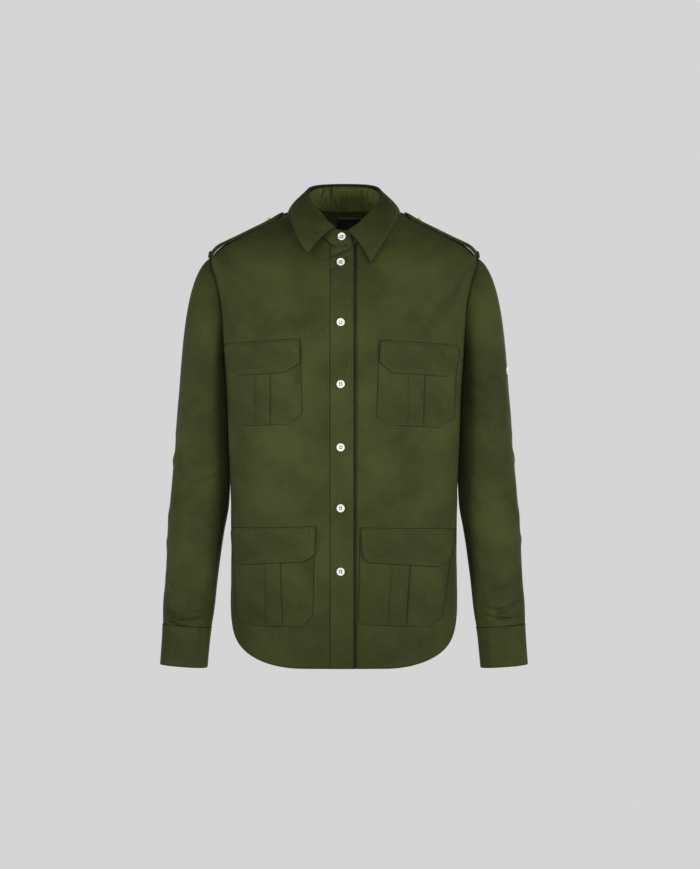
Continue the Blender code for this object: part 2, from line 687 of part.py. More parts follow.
def strap_point(part, across, side):
    """A point of the shoulder strap's top, part of the way along it and across its width from -1 to 1."""
    stops = np.linspace(0, 1, len(STRAP))
    out, height, half = [through(part, stops, STRAP[:, column]) for column in range(3)]
    y = STRAP_MIDDLE_Y + across * half
    start = np.stack([side * np.minimum(out, 209), y, np.full_like(y, -150.0)], -1)
    base = reach(start, (0, 0, 1), 200.0)
    start[..., 1] = STRAP_MIDDLE_Y
    middle = reach(start, (0, 0, 1), 200.0)
    base[..., 2] = np.maximum(base[..., 2], middle[..., 2] - STRAP_SAG * across**2)
    base[..., 0] += side * np.maximum(out - 209, 0)
    near = np.minimum(height, STRAP_LIFT)[..., None]
    return base + normals(base) * near + np.array([0, 0, 1]) * (height[..., None] - near)


def make_strap(name, side):
    """A strap sewn in at the sleeve's seam. It stands in a loop there, and its point is buttoned near the collar."""
    part, across = np.meshgrid(np.linspace(0, 1, len(STRAP)), np.linspace(-1, 1, 5), indexing="ij")
    grid = strap_point(part, across, side)
    if side < 0:
        grid = grid[:, ::-1]
    return add_sheet(name, grid, STRAP_WALL)


def button_mesh():
    """A turned disc with a raised rim and a dished middle."""
    r, deep = BUTTON_RADIUS, BUTTON_DEPTH
    profile = [(0, 0.65), (0.55, 0.65), (0.68, 0.95), (0.86, 1.0), (1.0, 0.75), (1.0, 0.35), (0.8, 0.0), (0, 0.0)]
    mesh = bpy.data.meshes.new("button")
    points = [(share * r * MM, 0, up * deep * MM) for share, up in profile]
    mesh.from_pydata(points, [(i, i + 1) for i in range(len(points) - 1)], [])
    mesh.materials.append(shell)
    return mesh


def add_button(name, mesh, panel, start, direction, size=1.0, out=0.0):
    """A button set on the cloth where a line from start meets it, facing out."""
    tree = BVHTree.FromPolygons(
        [vertex.co for vertex in panel.data.vertices], [face.vertices for face in panel.data.polygons]
    )
    place, facing, _, _ = tree.ray_cast(Vector(start) * MM, Vector(direction).normalized())
    made = bpy.data.objects.new(name, mesh)
    parts.objects.link(made)
    made.location = place + facing * (SEAM + 0.1 + out) * MM
    made.rotation_euler = facing.to_track_quat("Z", "Y").to_euler()
    made.scale = (size, size, size)
    turn = made.modifiers.new("turned", "SCREW")
    turn.steps = turn.render_steps = 14
    turn.use_merge_vertices = True
    turn.merge_threshold = 1e-6
    turn.use_smooth_shade = True
    return made


for old in list(bpy.data.objects):
    bpy.data.objects.remove(old)
parts = bpy.data.collections.new("shirt")
bpy.context.scene.collection.children.link(parts)
cloth = material("olive cotton twill", OLIVE, 0.8)
shell = material("mother of pearl", PEARL, 0.25)
ribbon = material("black satin", BLACK, 0.5)

front_right, front_left, row_heights = make_fronts()
placket = make_placket(row_heights)
make_back()
yoke = make_yoke()
stand = make_collar()
make_pockets()

label_x, label_z = LABEL_SPAN, LABEL_HEIGHTS
label_corners = [around(x, z, True) for x, z in ((label_x[0], label_z[0]), (label_x[1], label_z[0]),
                                                 (label_x[1], label_z[1]), (label_x[0], label_z[1]))]
inside = -(WALL + SEAM + 0.2)
add_patch("neck_label", cut_from(yoke, label_corners), lambda point: inside, LABEL_WALL, -1.0, ribbon)

disc = button_mesh()
add_button("button_collar", disc, stand, (COLLAR_BUTTON_X, -FAR, COLLAR_BUTTON_HEIGHT), (0, 1, 0))
for number, height in enumerate(BUTTON_HEIGHTS, 1):
    add_button(f"button_{number}", disc, placket, (BUTTON_X, -FAR, height), (0, 1, 0))

for name, side, tab_y in (("right", -1, 32), ("left", 1, -8)):
    sleeve = make_sleeve("sleeve_" + name, side)
    cuff = make_cuff("cuff_" + name, side)
    strap = make_strap("epaulette_" + name, side)
    on_strap = (side * STRAP_BUTTON_X, STRAP_MIDDLE_Y, FAR)
    add_button("button_strap_" + name, disc, strap, on_strap, (0, 0, -1), SMALL_BUTTON)
    add_button("button_tab_" + name, disc, sleeve, (side * FAR, tab_y, ROLL_TAB_HEIGHT), (-side, 0, 0), SMALL_BUTTON)
    turn = math.radians(CUFF_OVERLAP / 2 - CUFF_OPENING)
    far, near = [sleeve_ring(turn, (CUFF_BOTTOM + CUFF_SEAM) / 2, side, out) for out in (60.0, 0.0)]
    add_button("button_cuff_" + name, disc, cuff, far, near - far, SMALL_BUTTON)
    slit = [sleeve_ring(math.radians(angle), height, side) for angle, height in SLEEVE_PLACKET]
    add_patch("sleeve_placket_" + name, cut_from(sleeve, slit), lambda point: SEAM, POCKET_WALL)
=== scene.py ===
# %% [markdown]
# A long-sleeved field shirt, filled out as if worn.
# The real shirt is cut flat from olive cotton twill and sewn. Here each cut piece is a surface worked out on
# one rounded form, so that neighbouring pieces meet at their seams without any fitting by eye.
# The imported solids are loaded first, because every piece below takes the place of one of them.

# %% Frame and sizes
import math

import bmesh
import bpy
import numpy as np
from mathutils import Matrix, Vector


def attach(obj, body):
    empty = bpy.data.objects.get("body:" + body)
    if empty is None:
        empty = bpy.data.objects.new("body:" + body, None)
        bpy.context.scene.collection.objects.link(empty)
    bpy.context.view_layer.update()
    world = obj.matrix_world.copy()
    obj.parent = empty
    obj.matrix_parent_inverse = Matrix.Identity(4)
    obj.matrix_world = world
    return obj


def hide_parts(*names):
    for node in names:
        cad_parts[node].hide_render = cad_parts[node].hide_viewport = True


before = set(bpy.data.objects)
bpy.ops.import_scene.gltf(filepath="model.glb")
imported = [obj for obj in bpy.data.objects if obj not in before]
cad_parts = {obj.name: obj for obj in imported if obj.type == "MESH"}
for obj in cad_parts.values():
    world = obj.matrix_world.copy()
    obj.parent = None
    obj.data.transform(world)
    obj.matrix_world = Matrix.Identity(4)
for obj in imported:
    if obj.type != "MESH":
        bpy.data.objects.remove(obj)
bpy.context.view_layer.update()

MM = 0.001
SEAM = 0.3
WALL = 1.3
print("solids loaded:", len(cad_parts))

# %% [markdown]
# The form is what fills the shirt: a stack of rounded ovals, wide at the chest and closing to the neck. A
# mesh could be sculpted for it, but a short table and a smooth curve through it keep every size in sight,
# and any point of the cloth can then be asked for by its height and its distance round the body.

# %% The form
# Height, half width, depth in front, depth behind, squareness of the oval, in millimetres
FORM = np.array([
    (-740, 181, 112, 97, 2.5), (-640, 181, 113, 95, 2.5), (-460, 181, 115, 92, 2.5),
    (-380, 184, 117, 95, 2.5), (-300, 187, 119, 101, 2.5), (-235, 192, 118, 106, 2.5),
    (-170, 200, 113, 109, 2.5), (-112, 209, 103, 104, 2.4), (-84, 214, 94, 99, 2.35),
    (-66, 208, 85, 94, 2.25), (-57, 199, 80, 91, 2.2), (-38, 168, 69, 84, 2.15), (-14, 121, 52, 73, 2.1),
    (1, 92, 39, 63.5, 2.05), (8, 66, 33, 58, 2),
], float)
CHEST_LEVEL, FRONT_HEM, BACK_HEM, SIDE_HEM = -235, -720, -733, -590
HEM_FLAT, HEM_SIDE_GIRTH = 70, 245
NECK_HALF_WIDTH, NECK_FRONT, NECK_BACK = 70, 82, 61
YOKE_FRONT_Y, YOKE_BACK_HEIGHT, SIDE_SEAM_Y = -24, -95, 4
ARMHOLE_TOP, ARMHOLE_BOTTOM, ARMHOLE_FRONT, ARMHOLE_BACK = -70, -236, 44, 58
# The chest's level as a row of one, a height inside the form, and the turns of a quarter oval
AT_CHEST = np.array([CHEST_LEVEL], float)
INSIDE_Z = -150.0
QUARTER = np.linspace(0, math.pi / 2, 160)


def through(at, places, values):
    """A cubic in each gap of a table, whose slope at each place is the neighbours' mean slope."""
    slopes = np.gradient(values, places)
    gap = np.clip(np.searchsorted(places, at) - 1, 0, len(places) - 2)
    length = places[gap + 1] - places[gap]
    part = np.clip((at - places[gap]) / length, 0, 1)
    rise = values[gap + 1] - values[gap]
    start, end = slopes[gap] * length, slopes[gap + 1] * length
    square, cube = 3 * rise - 2 * start - end, start + end - 2 * rise
    return values[gap] + start * part + square * part**2 + cube * part**3


def smooth_step(at, start, end):
    """Three times the square less twice the cube: 0 before start, 1 past end."""
    part = np.clip((at - start) / (end - start), 0, 1)
    return part * part * (3 - 2 * part)


def level(height):
    """The oval at a height, read from the table's columns."""
    height = np.asarray(height, float)
    return [through(height, FORM[:, 0], FORM[:, column]) for column in range(1, 5)]


def fullness(points):
    """The sum of x over half width and y over depth, each to the oval's power: 1 on the form."""
    half, front, back, power = level(points[..., 2])
    depth = np.where(points[..., 1] < 0, front, back)
    return (np.abs(points[..., 0]) / half) ** power + (np.abs(points[..., 1]) / depth) ** power


def unit(vectors):
    return vectors / np.linalg.norm(vectors, axis=-1, keepdims=True)


def normals(points):
    """The slope of fullness, by its change over a millimetre along each axis."""
    step = 0.5
    slope = np.stack([fullness(points + step * a) - fullness(points - step * a) for a in np.eye(3)], -1)
    return unit(slope)


def reach(start, direction, most=400.0):
    """Where a line from inside comes out of the form: its length is halved until fullness is 1."""
    start, direction = np.broadcast_arrays(np.asarray(start, float), np.asarray(direction, float))
    inner, outer = np.zeros(start.shape[:-1]), np.full(start.shape[:-1], most)
    for _ in range(40):
        middle = (inner + outer) / 2
        inside = fullness(start + direction * middle[..., None]) < 1
        inner, outer = np.where(inside, middle, inner), np.where(inside, outer, middle)
    return start + direction * inner[..., None]


def top_over(x, y):
    """The form's point straight above x and y."""
    x, y = np.broadcast_arrays(np.asarray(x, float), np.asarray(y, float))
    return reach(np.stack([x, y, np.full_like(x, INSIDE_Z)], -1), (0, 0, 1), 200.0)


def turn_table(height, behind):
    """Each level's oval, as the sine and cosine of a turn to the power 2 over squareness, and its girth."""
    half, front, back, power = level(height)
    depth = back if behind else -front
    across = half[..., None] * np.sin(QUARTER) ** (2 / power[..., None])
    along = depth[..., None] * np.cos(QUARTER) ** (2 / power[..., None])
    steps = np.hypot(np.diff(across), np.diff(along))
    girth = np.concatenate([np.zeros(across.shape[:-1] + (1,)), np.cumsum(steps, -1)], -1)
    return across, along, girth


def around(girth, height, behind=False):
    """The form's point at a girth from the centre line and a height, read between the table's points."""
    girth, height = np.broadcast_arrays(np.asarray(girth, float), np.asarray(height, float))
    across, along, table = turn_table(height, behind)
    far = np.abs(girth)[..., None]
    after = np.clip((table < far).sum(-1, keepdims=True), 1, table.shape[-1] - 1)
    low = np.take_along_axis(table, after - 1, -1)
    part = (far - low) / (np.take_along_axis(table, after, -1) - low)
    before, beyond = [[np.take_along_axis(s, at, -1) for s in (across, along)] for at in (after - 1, after)]
    x, y = [(near * (1 - part) + far * part)[..., 0] for near, far in zip(before, beyond)]
    return np.stack([np.sign(girth) * x, y, height], -1)


def girth_of(points, behind=False):
    """The girth from the centre line to points of the form, from their turn."""
    half, front, back, power = level(points[..., 2])
    x, y = np.abs(points[..., 0]) / half, np.abs(points[..., 1]) / (back if behind else front)
    turn = np.arctan2(x ** (power / 2), y ** (power / 2))
    table = turn_table(points[..., 2], behind)[-1].reshape(-1, len(QUARTER))
    return np.array([np.interp(t, QUARTER, row) for t, row in zip(turn.ravel(), table)])


def side_girth(height, behind=False):
    """The girth to the side seam, which lies a little behind the widest point."""
    half, front, back, power = level(height)
    y = np.full(np.shape(height), float(SIDE_SEAM_Y))
    if not behind:
        return turn_table(height, False)[-1][..., -1] + y
    x = half * (1 - (y / back) ** power) ** (1 / power)
    return girth_of(np.stack([x, y, np.asarray(height, float)], -1), True)


def hem_height(girth, lowest):
    """A level middle, then a quarter of an ellipse up to the side."""
    part = np.clip((np.abs(girth) - HEM_FLAT) / (HEM_SIDE_GIRTH - HEM_FLAT), 0, 1)
    return lowest + (SIDE_HEM - lowest) * (1 - np.sqrt(1 - part**2 * 0.985))


def neckline(turn):
    """An oval seen from above, dropped on the form. Turn 0 is the front and pi the back."""
    x = NECK_HALF_WIDTH * np.sin(turn)
    y = -np.cos(turn) * np.where(np.cos(turn) > 0, NECK_FRONT, NECK_BACK)
    return top_over(x, y)


def armhole(turn, side):
    """An egg seen from the side, pushed out to the form. Turn 0 is the shoulder and pi the underarm."""
    z = (ARMHOLE_TOP + ARMHOLE_BOTTOM) / 2 + np.cos(turn) * (ARMHOLE_TOP - ARMHOLE_BOTTOM) / 2
    depth = np.where(np.sin(turn) > 0, -ARMHOLE_FRONT, -ARMHOLE_BACK)
    y = depth * np.sin(turn) * (1 - 0.12 * np.cos(turn)) + SIDE_SEAM_Y * (1 - np.cos(turn)) / 2
    return reach(np.stack([np.zeros_like(y), y, z], -1), (side, 0, 0))


print("girth at the chest:", round(0.4 * float(side_girth(AT_CHEST)[0])), "cm")

# %% [markdown]
# Folds come in two sizes. The large ones are in the imported solids, and they are repeated here with the
# same formulas. The fine ones are listed one by one: each is a soft ridge or trough with its own place,
# slant, length, width and depth. Cloth simulation could make them, but it would not put them where this
# shirt has them.

# %% Large folds and fine creases
CREASE_DEPTH = 1.6
# Middle x and z, slant in degrees, half length, half width, height; front first, then back
FRONT_CREASES = (
    (-3, -67, 26, 17, 3.2, -2.2), (-6, -73, 24, 20, 2.6, 1.5), (2, -60, 30, 16, 2.6, 1.2),
    (10, -262, 4, 14, 2.2, -0.7), (7, -330, -6, 15, 2.4, 0.8), (3, -336, -3, 19, 2, -0.6),
    (-4, -56, 38, 17, 3, 0.9), (8, -150, 8, 10, 2.2, -0.5), (10, -420, 5, 12, 2.2, -0.5),
    (9, -505, -7, 12, 2.2, 0.5), (-150, -165, 48, 52, 8, 1.5), (-128, -178, 54, 44, 6, -1.1),
    (150, -168, -50, 50, 8, 1.4), (131, -186, -57, 40, 6, -1.1), (-52, -120, -66, 42, 10, -0.8),
    (50, -128, 62, 46, 10, -0.8), (-40, -400, 12, 60, 12, 0.9), (-120, -430, -8, 55, 11, -0.9),
    (62, -392, -14, 58, 12, 0.8), (132, -446, 10, 50, 10, -1), (88, -470, -6, 62, 9, 0.9),
    (-92, -474, 7, 58, 9, 0.8), (-60, -690, -78, 28, 7, 0.9), (64, -612, 66, 30, 7, -1.3),
    (54, -634, 62, 24, 5, 1), (118, -600, 52, 30, 8, 0.9), (-146, -612, 58, 32, 8, -0.9),
    (-92, -618, -64, 26, 6, 0.8), (-30, -600, 84, 40, 6, -0.8), (-36, -520, 80, 26, 5, -0.9),
    (30, -676, -62, 26, 6, 1), (150, -640, 64, 26, 6, -0.9), (-34, -300, 78, 40, 7, -0.7),
    (34, -318, -80, 44, 7, 0.7), (-44, -172, 70, 26, 6, 0.8), (40, -160, -68, 28, 6, -0.8),
    (96, -300, 60, 30, 8, 0.6), (-100, -296, -58, 30, 8, 0.6), (-18, -92, 34, 14, 3.6, -1),
    (20, -96, -30, 14, 3.6, 0.8), (-118, -676, -70, 24, 6, -0.8), (52, -692, 80, 30, 7, -0.9),
    (112, -682, 72, 26, 6, 0.9),
)
BACK_CREASES = (
    (-150, -170, 40, 50, 8, 1.6), (148, -176, -44, 46, 7.5, 1.5), (-96, -235, 62, 60, 9, -1.2),
    (92, -244, -58, 64, 9, -1.1), (-40, -330, 80, 70, 9, 1), (46, -350, -84, 80, 9, 1.1),
    (-70, -452, 9, 64, 7, 1.3), (58, -476, -8, 70, 7, -1.2), (-20, -508, 5, 74, 7, 1),
    (110, -520, -14, 46, 7, 1), (-122, -534, 12, 44, 7, -1), (24, -640, 84, 62, 9, 1.3),
    (-68, -655, -86, 56, 8, -1.2), (96, -650, 80, 50, 8, 1.1), (8, -128, 88, 26, 5, 0.7),
)


def creased(points, table):
    """For each crease, its height times a bell across it and a flatter bell along it, all added."""
    total = np.zeros(points.shape[:-1])
    for x, z, slant, length, width, height in table:
        c, s = math.cos(math.radians(slant)), math.sin(math.radians(slant))
        along = (points[..., 0] - x) * c + (points[..., 2] - z) * s
        across = (points[..., 2] - z) * c - (points[..., 0] - x) * s
        across = across + 0.0016 * along**2
        total += CREASE_DEPTH * height * np.exp(-((across / width) ** 2) - (along / length) ** 4)
    return total


def ripple(points):
    """Three slow waves of unlike length and slant, which keep large areas from looking pressed."""
    x, y, z = points[..., 0], points[..., 1], points[..., 2]
    wide = 0.34 * np.sin(x / 31 + z / 47 + 0.6) * np.sin(z / 38 - y / 29)
    middle = 0.20 * np.sin(x / 15.3 - z / 24 + 2.0) * np.sin(z / 17.7 + 1.0)
    return wide + middle + 0.10 * np.sin(x / 6.1 + z / 11 - y / 9)


def drape(points):
    """The solids' large folds: waves at the tail, two at the waist, one beside each shoulder blade."""
    x, y, z = points[..., 0], points[..., 1], points[..., 2]
    low = smooth_step(-z, 330, 620)
    turn = np.arctan2(x, y)
    back = smooth_step(y, 20, 60)
    tail = 3.2 * np.cos(7.3 * turn + 0.4) + 1.6 * np.cos(12 * turn + z / 90)
    waist = np.exp(-(((z + 470 + 0.25 * x) / 26) ** 2)) - 0.8 * np.exp(-(((z + 545 - 0.18 * x) / 30) ** 2))
    blades = 2.2 * np.exp(-(((np.abs(x) - 118 - 0.22 * z * 0.4) / 22) ** 2)) * smooth_step(-z, 110, 190)
    blades = blades * (1 - smooth_step(-z, 330, 430))
    return back * (low * tail + 1.8 * waist + blades)


def draped(points, lift=0.0):
    """The form's points, moved out along its normal by the folds and by the layer's own height."""
    behind = smooth_step(points[..., 1], -10, 30)
    fine = creased(points, FRONT_CREASES) * (1 - behind) + creased(points, BACK_CREASES) * behind
    neck = smooth_step(-points[..., 2], 20, 70)
    out = drape(points) + neck * (fine + ripple(points)) + lift
    return points + normals(points) * np.asarray(out)[..., None]


print("fine creases:", len(FRONT_CREASES), "in front and", len(BACK_CREASES), "behind")

# %% [markdown]
# Cotton twill: a matt cloth whose diagonal rib is too fine to see from across a room, but which breaks up
# the light. Its ribs lie about 1 mm apart. The rib follows each piece's own UV map, in metres along
# and across the cloth, so it turns with the sleeve and the collar as woven cloth does.

# %% Materials
OLIVE_HEX, OLIVE_DEEP_HEX, THREAD_HEX = "3e4320", "272c12", "3a4020"
# The inner side is lighter than the outer: partly the paler wrong side of twill, partly painted light inside
# the collar, where the lamps reach too little
INNER_SIDE_LIGHTENED_HEX, INNER_SIDE_LIGHTENED_DEEP_HEX = "595f30", "393e1c"
RIB_SPACING_MM, RIB_SLANT, RIB_DEPTH, BUMP_METRES = 1.1, math.radians(63), 0.30, 0.00012
# Scale and roughness of the noise of uneven threads, and of the slow fading by washing
SLUB_NOISE, FADE_NOISE = (420.0, 0.7), (9.0, 0.6)
# The painted shadow line along each seam and fold edge: half width in millimetres, depth, share on a soft
# seam, colour
SEAM_SHADE, SEAM_DARK, SOFT_LINE, SEAM_SHADOW_HEX = 1.3, 0.84, 0.25, "0f1107"


def linear(hex_colour):
    """sRGB to linear light: a straight part near black, then a power of 2.4."""
    value = np.array([int(hex_colour[i : i + 2], 16) for i in (0, 2, 4)]) / 255
    value = np.where(value <= 0.04045, value / 12.92, ((value + 0.055) / 1.055) ** 2.4)
    return (*value, 1.0)


def add_node(tree, kind, settings=(), links=()):
    """A node with its settings, on sockets or on itself, and its inputs linked."""
    node = tree.nodes.new(kind)
    for key, value in dict(settings).items():
        if isinstance(key, int) or key in node.inputs:
            node.inputs[key].default_value = value
        else:
            setattr(node, key, value)
    for key, source in dict(links).items():
        tree.links.new(source, node.inputs[key])
    return node


def new_material(name, settings):
    made = bpy.data.materials.new(name)
    made.use_nodes = True
    shader = made.node_tree.nodes["Principled BSDF"]
    for key, value in settings.items():
        shader.inputs[key].default_value = value
    return made, made.node_tree, shader


def twill(name, light, deep):
    """Olive cotton twill, piece dyed and washed: matt, with a faint bloom at grazing angles."""
    settings = {"Roughness": 0.78, "Sheen Weight": 0.08, "Sheen Roughness": 0.45, "Specular IOR Level": 0.12}
    settings["Sheen Tint"] = linear("a5a57e")
    made, tree, shader = new_material(name, settings)
    place = add_node(tree, "ShaderNodeUVMap", {"uv_map": "cloth"}).outputs["UV"]
    rib_turns = 2 * math.pi / (20 * RIB_SPACING_MM * MM)
    turned = add_node(tree, "ShaderNodeMapping", {"Rotation": (0, 0, RIB_SLANT)}, {"Vector": place})
    rib = add_node(tree, "ShaderNodeTexWave", {"Scale": rib_turns, "Distortion": 1.2, "Detail": 1.0},
                   {"Vector": turned.outputs["Vector"]})
    slub, fade = [add_node(tree, "ShaderNodeTexNoise", {"Scale": scale, "Detail": 4.0, "Roughness": rough},
                           {"Vector": place}) for scale, rough in (SLUB_NOISE, FADE_NOISE)]
    mixed = add_node(tree, "ShaderNodeMath", {"operation": "MULTIPLY_ADD", 1: 0.75},
                     {0: slub.outputs["Fac"], 2: fade.outputs["Fac"]})
    ramp = add_node(tree, "ShaderNodeValToRGB", (), {"Fac": mixed.outputs[0]})
    ramp.color_ramp.elements[0].position, ramp.color_ramp.elements[1].position = 0.62, 1.0
    ramp.color_ramp.elements[0].color, ramp.color_ramp.elements[1].color = linear(deep), linear(light)
    shade = add_node(tree, "ShaderNodeMix", {"data_type": "RGBA", "blend_type": "MULTIPLY"})
    shade.inputs[0].default_value = RIB_DEPTH
    tree.links.new(ramp.outputs["Color"], shade.inputs[6])
    tree.links.new(rib.outputs["Color"], shade.inputs[7])
    # Painted shade: the seam attribute mixes the cloth's colour towards near-black, a painted shadow line
    # along each piece's edges and fold edges
    seam = add_node(tree, "ShaderNodeAttribute", {"attribute_name": "seam"})
    depth = add_node(tree, "ShaderNodeMath", {"operation": "MULTIPLY", 1: SEAM_DARK},
                     {0: seam.outputs["Fac"]})
    painted_seam_shade = add_node(tree, "ShaderNodeMix", {"data_type": "RGBA"}, {0: depth.outputs[0], 6: shade.outputs[2]})
    painted_seam_shade.inputs[7].default_value = linear(SEAM_SHADOW_HEX)
    tree.links.new(painted_seam_shade.outputs[2], shader.inputs["Base Color"])
    height = add_node(tree, "ShaderNodeMath", {"operation": "MULTIPLY_ADD", 1: 0.5},
                      {0: slub.outputs["Fac"], 2: rib.outputs["Fac"]})
    bump = add_node(tree, "ShaderNodeBump", {"Strength": 0.35, "Distance": BUMP_METRES},
                    {"Height": height.outputs[0]})
    tree.links.new(bump.outputs["Normal"], shader.inputs["Normal"])
    return made


def plain_material(name, colour, roughness, extra=(), speckle=0.0, scale=400.0):
    """One colour with a slight noise in it, for small pieces."""
    made, tree, shader = new_material(name, {"Roughness": roughness, **dict(extra)})
    place = add_node(tree, "ShaderNodeTexCoord").outputs["Object"]
    noise = add_node(tree, "ShaderNodeTexNoise", {"Scale": scale, "Detail": 3.0}, {"Vector": place})
    ramp = add_node(tree, "ShaderNodeValToRGB", (), {"Fac": noise.outputs["Fac"]})
    base = np.array(linear(colour))
    ramp.color_ramp.elements[0].color = (*(base[:3] * (1 - speckle)), 1)
    ramp.color_ramp.elements[1].color = (*np.minimum(base[:3] * (1 + speckle), 1), 1)
    tree.links.new(ramp.outputs["Color"], shader.inputs["Base Color"])
    return made


cotton_twill = twill("olive cotton twill", OLIVE_HEX, OLIVE_DEEP_HEX)
# A lightened copy of the twill: the wrong side's own paleness, and painted light inside the collar
inner_side_lightened_twill = twill("olive cotton twill, inner side", INNER_SIDE_LIGHTENED_HEX, INNER_SIDE_LIGHTENED_DEEP_HEX)
sewing_thread = plain_material("spun polyester thread", THREAD_HEX, 0.6, (), 0.1, 3000.0)
satin = plain_material("black woven satin", "17171a", 0.42, (), 0.15, 2500.0)
lacquer = {"Coat Weight": 0.6, "Coat Roughness": 0.08}
pearl = plain_material("mother of pearl", "ddd8cd", 0.2, lacquer, 0.16, 260.0)
print("materials:", [m.name for m in (cotton_twill, inner_side_lightened_twill, sewing_thread, satin, pearl)])

# %% [markdown]
# Every cut piece becomes a grid of its outer points, given a wall inwards by Solidify, as real cloth has.
# The helper also writes the UV map, puts the piece on its body, hides the solid that it stands for, and
# writes a painted shadow line along the piece's edges.

# %% A helper for cloth
made_pieces = {}


def grid_faces(rows, columns, closed=False):
    """Quads of a grid. Seen from outside, rows go up and columns go to the right."""
    across = columns if closed else columns - 1
    row, column = np.meshgrid(np.arange(rows - 1), np.arange(across), indexing="ij")
    a, b = (row * columns + column).ravel(), (row * columns + (column + 1) % columns).ravel()
    return np.stack([a, b, b + columns, a + columns], -1)


def new_object(name, data):
    made = bpy.data.objects.new(name, data)
    bpy.context.scene.collection.objects.link(made)
    return made


def add_mesh(name, points, faces, finish):
    """A smooth mesh at the origin from points in millimetres."""
    mesh = bpy.data.meshes.new(name)
    mesh.from_pydata((points.reshape(-1, 3) * MM).tolist(), [], faces.tolist())
    mesh.materials.append(finish)
    mesh.shade_smooth()
    return new_object(name, mesh)


def lengths(grid, axis):
    """The distance walked along the grid's rows or columns."""
    steps = np.linalg.norm(np.diff(grid, axis=axis), axis=-1)
    start = np.zeros_like(np.take(steps, [0], axis))
    return np.concatenate([start, np.cumsum(steps, axis)], axis)


def edge_shade(u, v, closed):
    """One at a piece's edges and near nothing SEAM_SHADE in from them, for the painted shadow line along a
    seam.
    """
    away = np.minimum(v, v[-1:] - v)
    if not closed:
        away = np.minimum(away, np.minimum(u, u[:, -1:] - u))
    return np.exp(-((away / SEAM_SHADE) ** 2))


def cloth(name, grid, node, wall=WALL, closed=False, finish=None, extra_faces=None, extra=None, line=1.0,
          shadow_lines=None):
    """One piece of cloth in place of one solid, with a painted shadow line along its edges."""
    rows, columns = grid.shape[:2]
    walked = np.concatenate([grid, grid[:, :1]], 1) if closed else grid
    u, v = lengths(walked, 1), lengths(walked, 0)
    points, faces = grid.reshape(-1, 3), grid_faces(rows, columns, closed)
    flat_u, flat_v = u[:, :columns].ravel(), v[:, :columns].ravel()
    # The painted shadow line: one at every edge, and more where a fold or an overlapping edge would throw
    # shade
    shade = line * edge_shade(u, v, closed)[:, :columns]
    shade = shade.ravel() if shadow_lines is None else np.maximum(shade, shadow_lines).ravel()
    if extra is not None:
        shade = np.concatenate([shade, np.zeros(len(extra[0]))])
        points, faces = np.concatenate([points, extra[0]]), np.concatenate([faces, extra_faces])
        flat_u, flat_v = np.concatenate([flat_u, extra[1]]), np.concatenate([flat_v, extra[2]])
    made = add_mesh(name, points, faces, finish or cotton_twill)
    loops = np.empty(len(made.data.loops), np.int32)
    made.data.loops.foreach_get("vertex_index", loops)
    place = np.stack([flat_u[loops], flat_v[loops]], -1) * MM
    if closed:
        last = (loops % columns == 0) & (np.roll(loops, 1) % columns == columns - 1)
        place[last, 0] = u.max() * MM
    made.data.uv_layers.new(name="cloth").data.foreach_set("uv", place.astype(np.float32).ravel())
    # The seam attribute carries the painted shadow line to the twill material
    made.data.attributes.new("seam", "FLOAT", "POINT").data.foreach_set("value", shade.astype(np.float32))
    thick = made.modifiers.new("wall", "SOLIDIFY")
    thick.thickness, thick.offset = wall * MM, -1
    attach(made, "root")
    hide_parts(node)
    made_pieces[name] = (made, grid, closed)
    return made

# %% [markdown]
# The fronts. Each is cut from the hem to the yoke, with the neck scooped out of its top corner and the
# armhole out of its side. The wearer's right front carries the button placket and closes over the left
# one, which runs on beneath it. A blend between four edge curves gives the cloth's threads a true course
# between the seams.

# %% Fronts and placket
PLACKET_LEFT, PLACKET_RIGHT, PLACKET_WALL, PLACKET_PROUD, PLACKET_CURL = -21, 15.5, 2.0, 0.6, 1.6
UNDER_PLACKET, SKIRT_ROWS, CHEST_ROWS = 0.4, 130, 84


def between(edges, rows, columns):
    """A Coons patch: the blend of sides, plus the blend of ends, less the blend of corners."""
    left, right, bottom, top = (edge[:, None] if i < 2 else edge[None] for i, edge in enumerate(edges))
    v, u = np.asarray(rows)[:, None, None], np.asarray(columns)[None, :, None]
    low_corners, top_corners = [end[:, :1] * (1 - u) + end[:, -1:] * u for end in (bottom, top)]
    return left * (1 - u) + right * u + (bottom - low_corners) * (1 - v) + (top - top_corners) * v


def seam_end_turn(target, behind):
    """The armhole's turn at a yoke seam, by halving."""
    low, high = (math.pi, 2 * math.pi) if behind else (0.0, math.pi / 2)
    for _ in range(40):
        turn = (low + high) / 2
        point = armhole(np.array([turn]), 1)[0]
        before = point[2] < target if behind else point[1] > target
        low, high = (turn, high) if before else (low, turn)
    return turn


def place_of(points):
    return np.stack([girth_of(points), points[..., 2]], -1)


